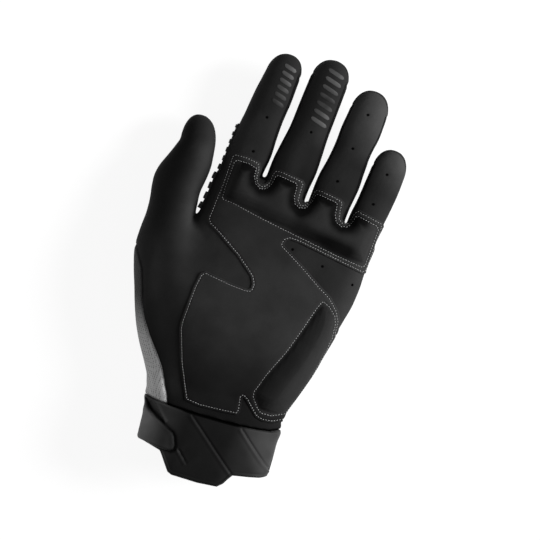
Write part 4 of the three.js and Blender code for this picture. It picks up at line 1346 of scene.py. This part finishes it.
# Rubber ribs along the thumb side of the index finger
RIB_FIRST, RIB_PITCH, RIB_CLOSING, RIB_COUNT = 102.8, 6.3, 0.12, 10
RIB_LONGEST, RIB_SHORTENING = 4.4, 0.28
RIB_LOW, RIB_HIGH = -3.4, 2.5
TALL_RIB, LOW_RIB, RIB_EDGE, TALL_RIBS = 1.15, 0.7, 0.72, 5
RIB_STRIP, RIB_FOOT = 0.5, 0.45
BESIDE_INDEX = -45.6
STRIP_START, STRIP_END = 101.2, 151.6


def rib_strip_field(v):
    f = front_of(v)
    left = np.minimum(digit_centre("index", v[:, 1]) - v[:, 0], v[:, 0] - INDEX_SIDE)
    return least(left, v[:, 1] - STRIP_START, STRIP_END - v[:, 1], RIB_HIGH - f, f + 6)


def rib_strip_outer(v):
    return LAYER + RIB_STRIP * rounded(rib_strip_field(v), 0.8, 0)


def rib_solids():
    solids = []
    heights = np.linspace(RIB_LOW, RIB_HIGH, 7)
    for k in range(RIB_COUNT):
        middle = RIB_FIRST + RIB_PITCH * k - RIB_CLOSING * k * k
        half = (RIB_LONGEST - RIB_SHORTENING * k) / 2
        rise = TALL_RIB if k < TALL_RIBS else LOW_RIB
        along = np.clip(middle + half * np.array([-1, -0.86, 0, 0.86, 1]), STRIP_START, STRIP_END)

        def place(i, j):
            z = float(curve(SEAM_HEIGHTS, along[j])) + heights[i]
            p, n = cast(base_tree, (BESIDE_INDEX, along[j], z), (1, 0, 0))
            border = i in (0, len(heights) - 1) or j in (0, len(along) - 1)
            top = LAYER + RIB_FOOT + rise * (RIB_EDGE if border else 1)
            return p + n * top, p + n * (LAYER + SUNK)

        solids.append(grid_solid(len(heights), len(along), place))
    return joined(solids)


strip = panel(
    "index_rib_base", rib_strip_field, RUBBER, "moulded_rubber", rib_strip_outer, LAYER - SUNK, rounds=1)
ribs = piece("index_ribs", *rib_solids(), RUBBER, "moulded_rubber", smooth_angle=25)
for thing in (strip, ribs):
    bend_with(thing, "index")
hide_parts("index_rib_strip")

# Silicone lines on two fingertips: x range, first y, pitch, count, the y where the lines are lightest and
# its spacing
PRINTS = {
    "index": (-27.4, -20.4, 169.8, 3.98, 6, 189, 42),
    "middle": (-4.4, 5.0, 167.9, 4.6, 7, 190, 23),
}
PRINT_WIDTH, PRINT_RISE, PRINT_SLANT = 2.2, 0.1, -0.24
PRINT_BASE, PRINT_GRID = 0.12, (16, 7)


def print_solids(x0, x1, first, pitch, count):
    solids = []
    for k in range(count):
        worn = 0.75 + 0.25 * math.sin(2.4 * k + 0.6)

        def place(i, j):
            s, t = i / (PRINT_GRID[0] - 1), j / (PRINT_GRID[1] - 1)
            taper = max(1 - abs(2 * s - 1) ** 5, 0.0) ** 0.5
            x = x0 + (x1 - x0) * s
            y = first + k * pitch + PRINT_SLANT * (x - x0) + PRINT_WIDTH * (0.2 + 0.8 * taper) * (t - 0.5)
            p, n = cast(base_tree, (x, y, ABOVE))
            edge = min(min(t, 1 - t) * 4, 1)
            return p + n * (PRINT_BASE + PRINT_RISE * worn * taper * edge), p - n * 0.3

        solids.append(grid_solid(*PRINT_GRID, place))
    return joined(solids)


for name, values in PRINTS.items():
    bars_v, bars_f = print_solids(*values[:5])
    fresh, spacing = values[5:]
    shade = 0.1 + 0.6 * np.cos(2 * math.pi * (bars_v[:, 1] - fresh) / spacing) + 0.3 * waves(bars_v, 9, 4)
    bars = piece(f"{name}_grip_print", bars_v, bars_f, SILICONE, "leather", tone=shade)
    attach(bars, f"{name}_tip")

# Floor, lights and world
FLOOR_HALF, FLOOR_DROP = 1.5, 0.0005
corners = [(-1, -1, 0), (1, -1, 0), (1, 1, 0), (-1, 1, 0)]
floor_mesh = new_mesh("floor", np.array(corners) * FLOOR_HALF, [(0, 1, 2, 3)])
floor = placed("floor", floor_mesh)
floor.location = (0, 0, -FLOOR_DROP)


def plain_mix(g, usual, plain, output):
    """Shows the plain shader to the camera, in mirrors and through glass, and the usual one elsewhere."""
    path = g.add("LightPath")
    seen = g.combine("MAXIMUM", path.outputs["Is Camera Ray"], path.outputs["Is Glossy Ray"])
    mix = g.add("MixShader")
    g.links.new(g.combine("MAXIMUM", seen, path.outputs["Is Transmission Ray"]), mix.inputs[0])
    g.links.new(usual.outputs[0], mix.inputs[1])
    g.links.new(plain.outputs[0], mix.inputs[2])
    g.links.new(mix.outputs[0], g.nodes[output].inputs["Surface"])


WHITE = (1, 1, 1, 1)
FLOOR_GREY, FLOOR_ROUGHNESS, FLOOR_GLOW, WORLD_LIGHT = 0.2, 0.9, 0.9, 0.11
floor_material = bpy.data.materials.new("floor")
floor_mesh.materials.append(floor_material)
g = Graph(floor_material)
shader = g.nodes["Principled BSDF"]
shader.inputs["Base Color"].default_value = (FLOOR_GREY, FLOOR_GREY, FLOOR_GREY, 1)
shader.inputs["Roughness"].default_value = FLOOR_ROUGHNESS
shader.inputs["Specular IOR Level"].default_value = 0.0
glow = g.add("Emission", Color=WHITE, Strength=FLOOR_GLOW)
both = g.add("AddShader")
g.links.new(shader.outputs[0], both.inputs[0])
g.links.new(glow.outputs[0], both.inputs[1])
plain_mix(g, shader, both, "Material Output")

sky = bpy.data.worlds.new("studio")
bpy.context.scene.world = sky
g = Graph(sky)
dim = g.nodes["Background"]
dim.inputs["Color"].default_value = WHITE
dim.inputs["Strength"].default_value = WORLD_LIGHT
plain_mix(g, dim, g.add("Background", Color=WHITE, Strength=1.0), "World Output")


def area_light(name, towards, far, size, watts):
    light = bpy.data.lights.new(name, "AREA")
    light.shape = "DISK"
    light.size = size
    light.energy = watts
    thing = placed(name, light)
    direction = Vector(towards).normalized()
    thing.location = direction * far
    thing.rotation_euler = direction.to_track_quat("Z", "Y").to_euler()


area_light("key", (0.85, 0.36, 0.45), far=1.6, size=0.8, watts=46)
area_light("rim", (-0.95, -0.1, 0.25), far=1.8, size=1.0, watts=10)

bpy.context.scene.view_settings.view_transform = "Standard"
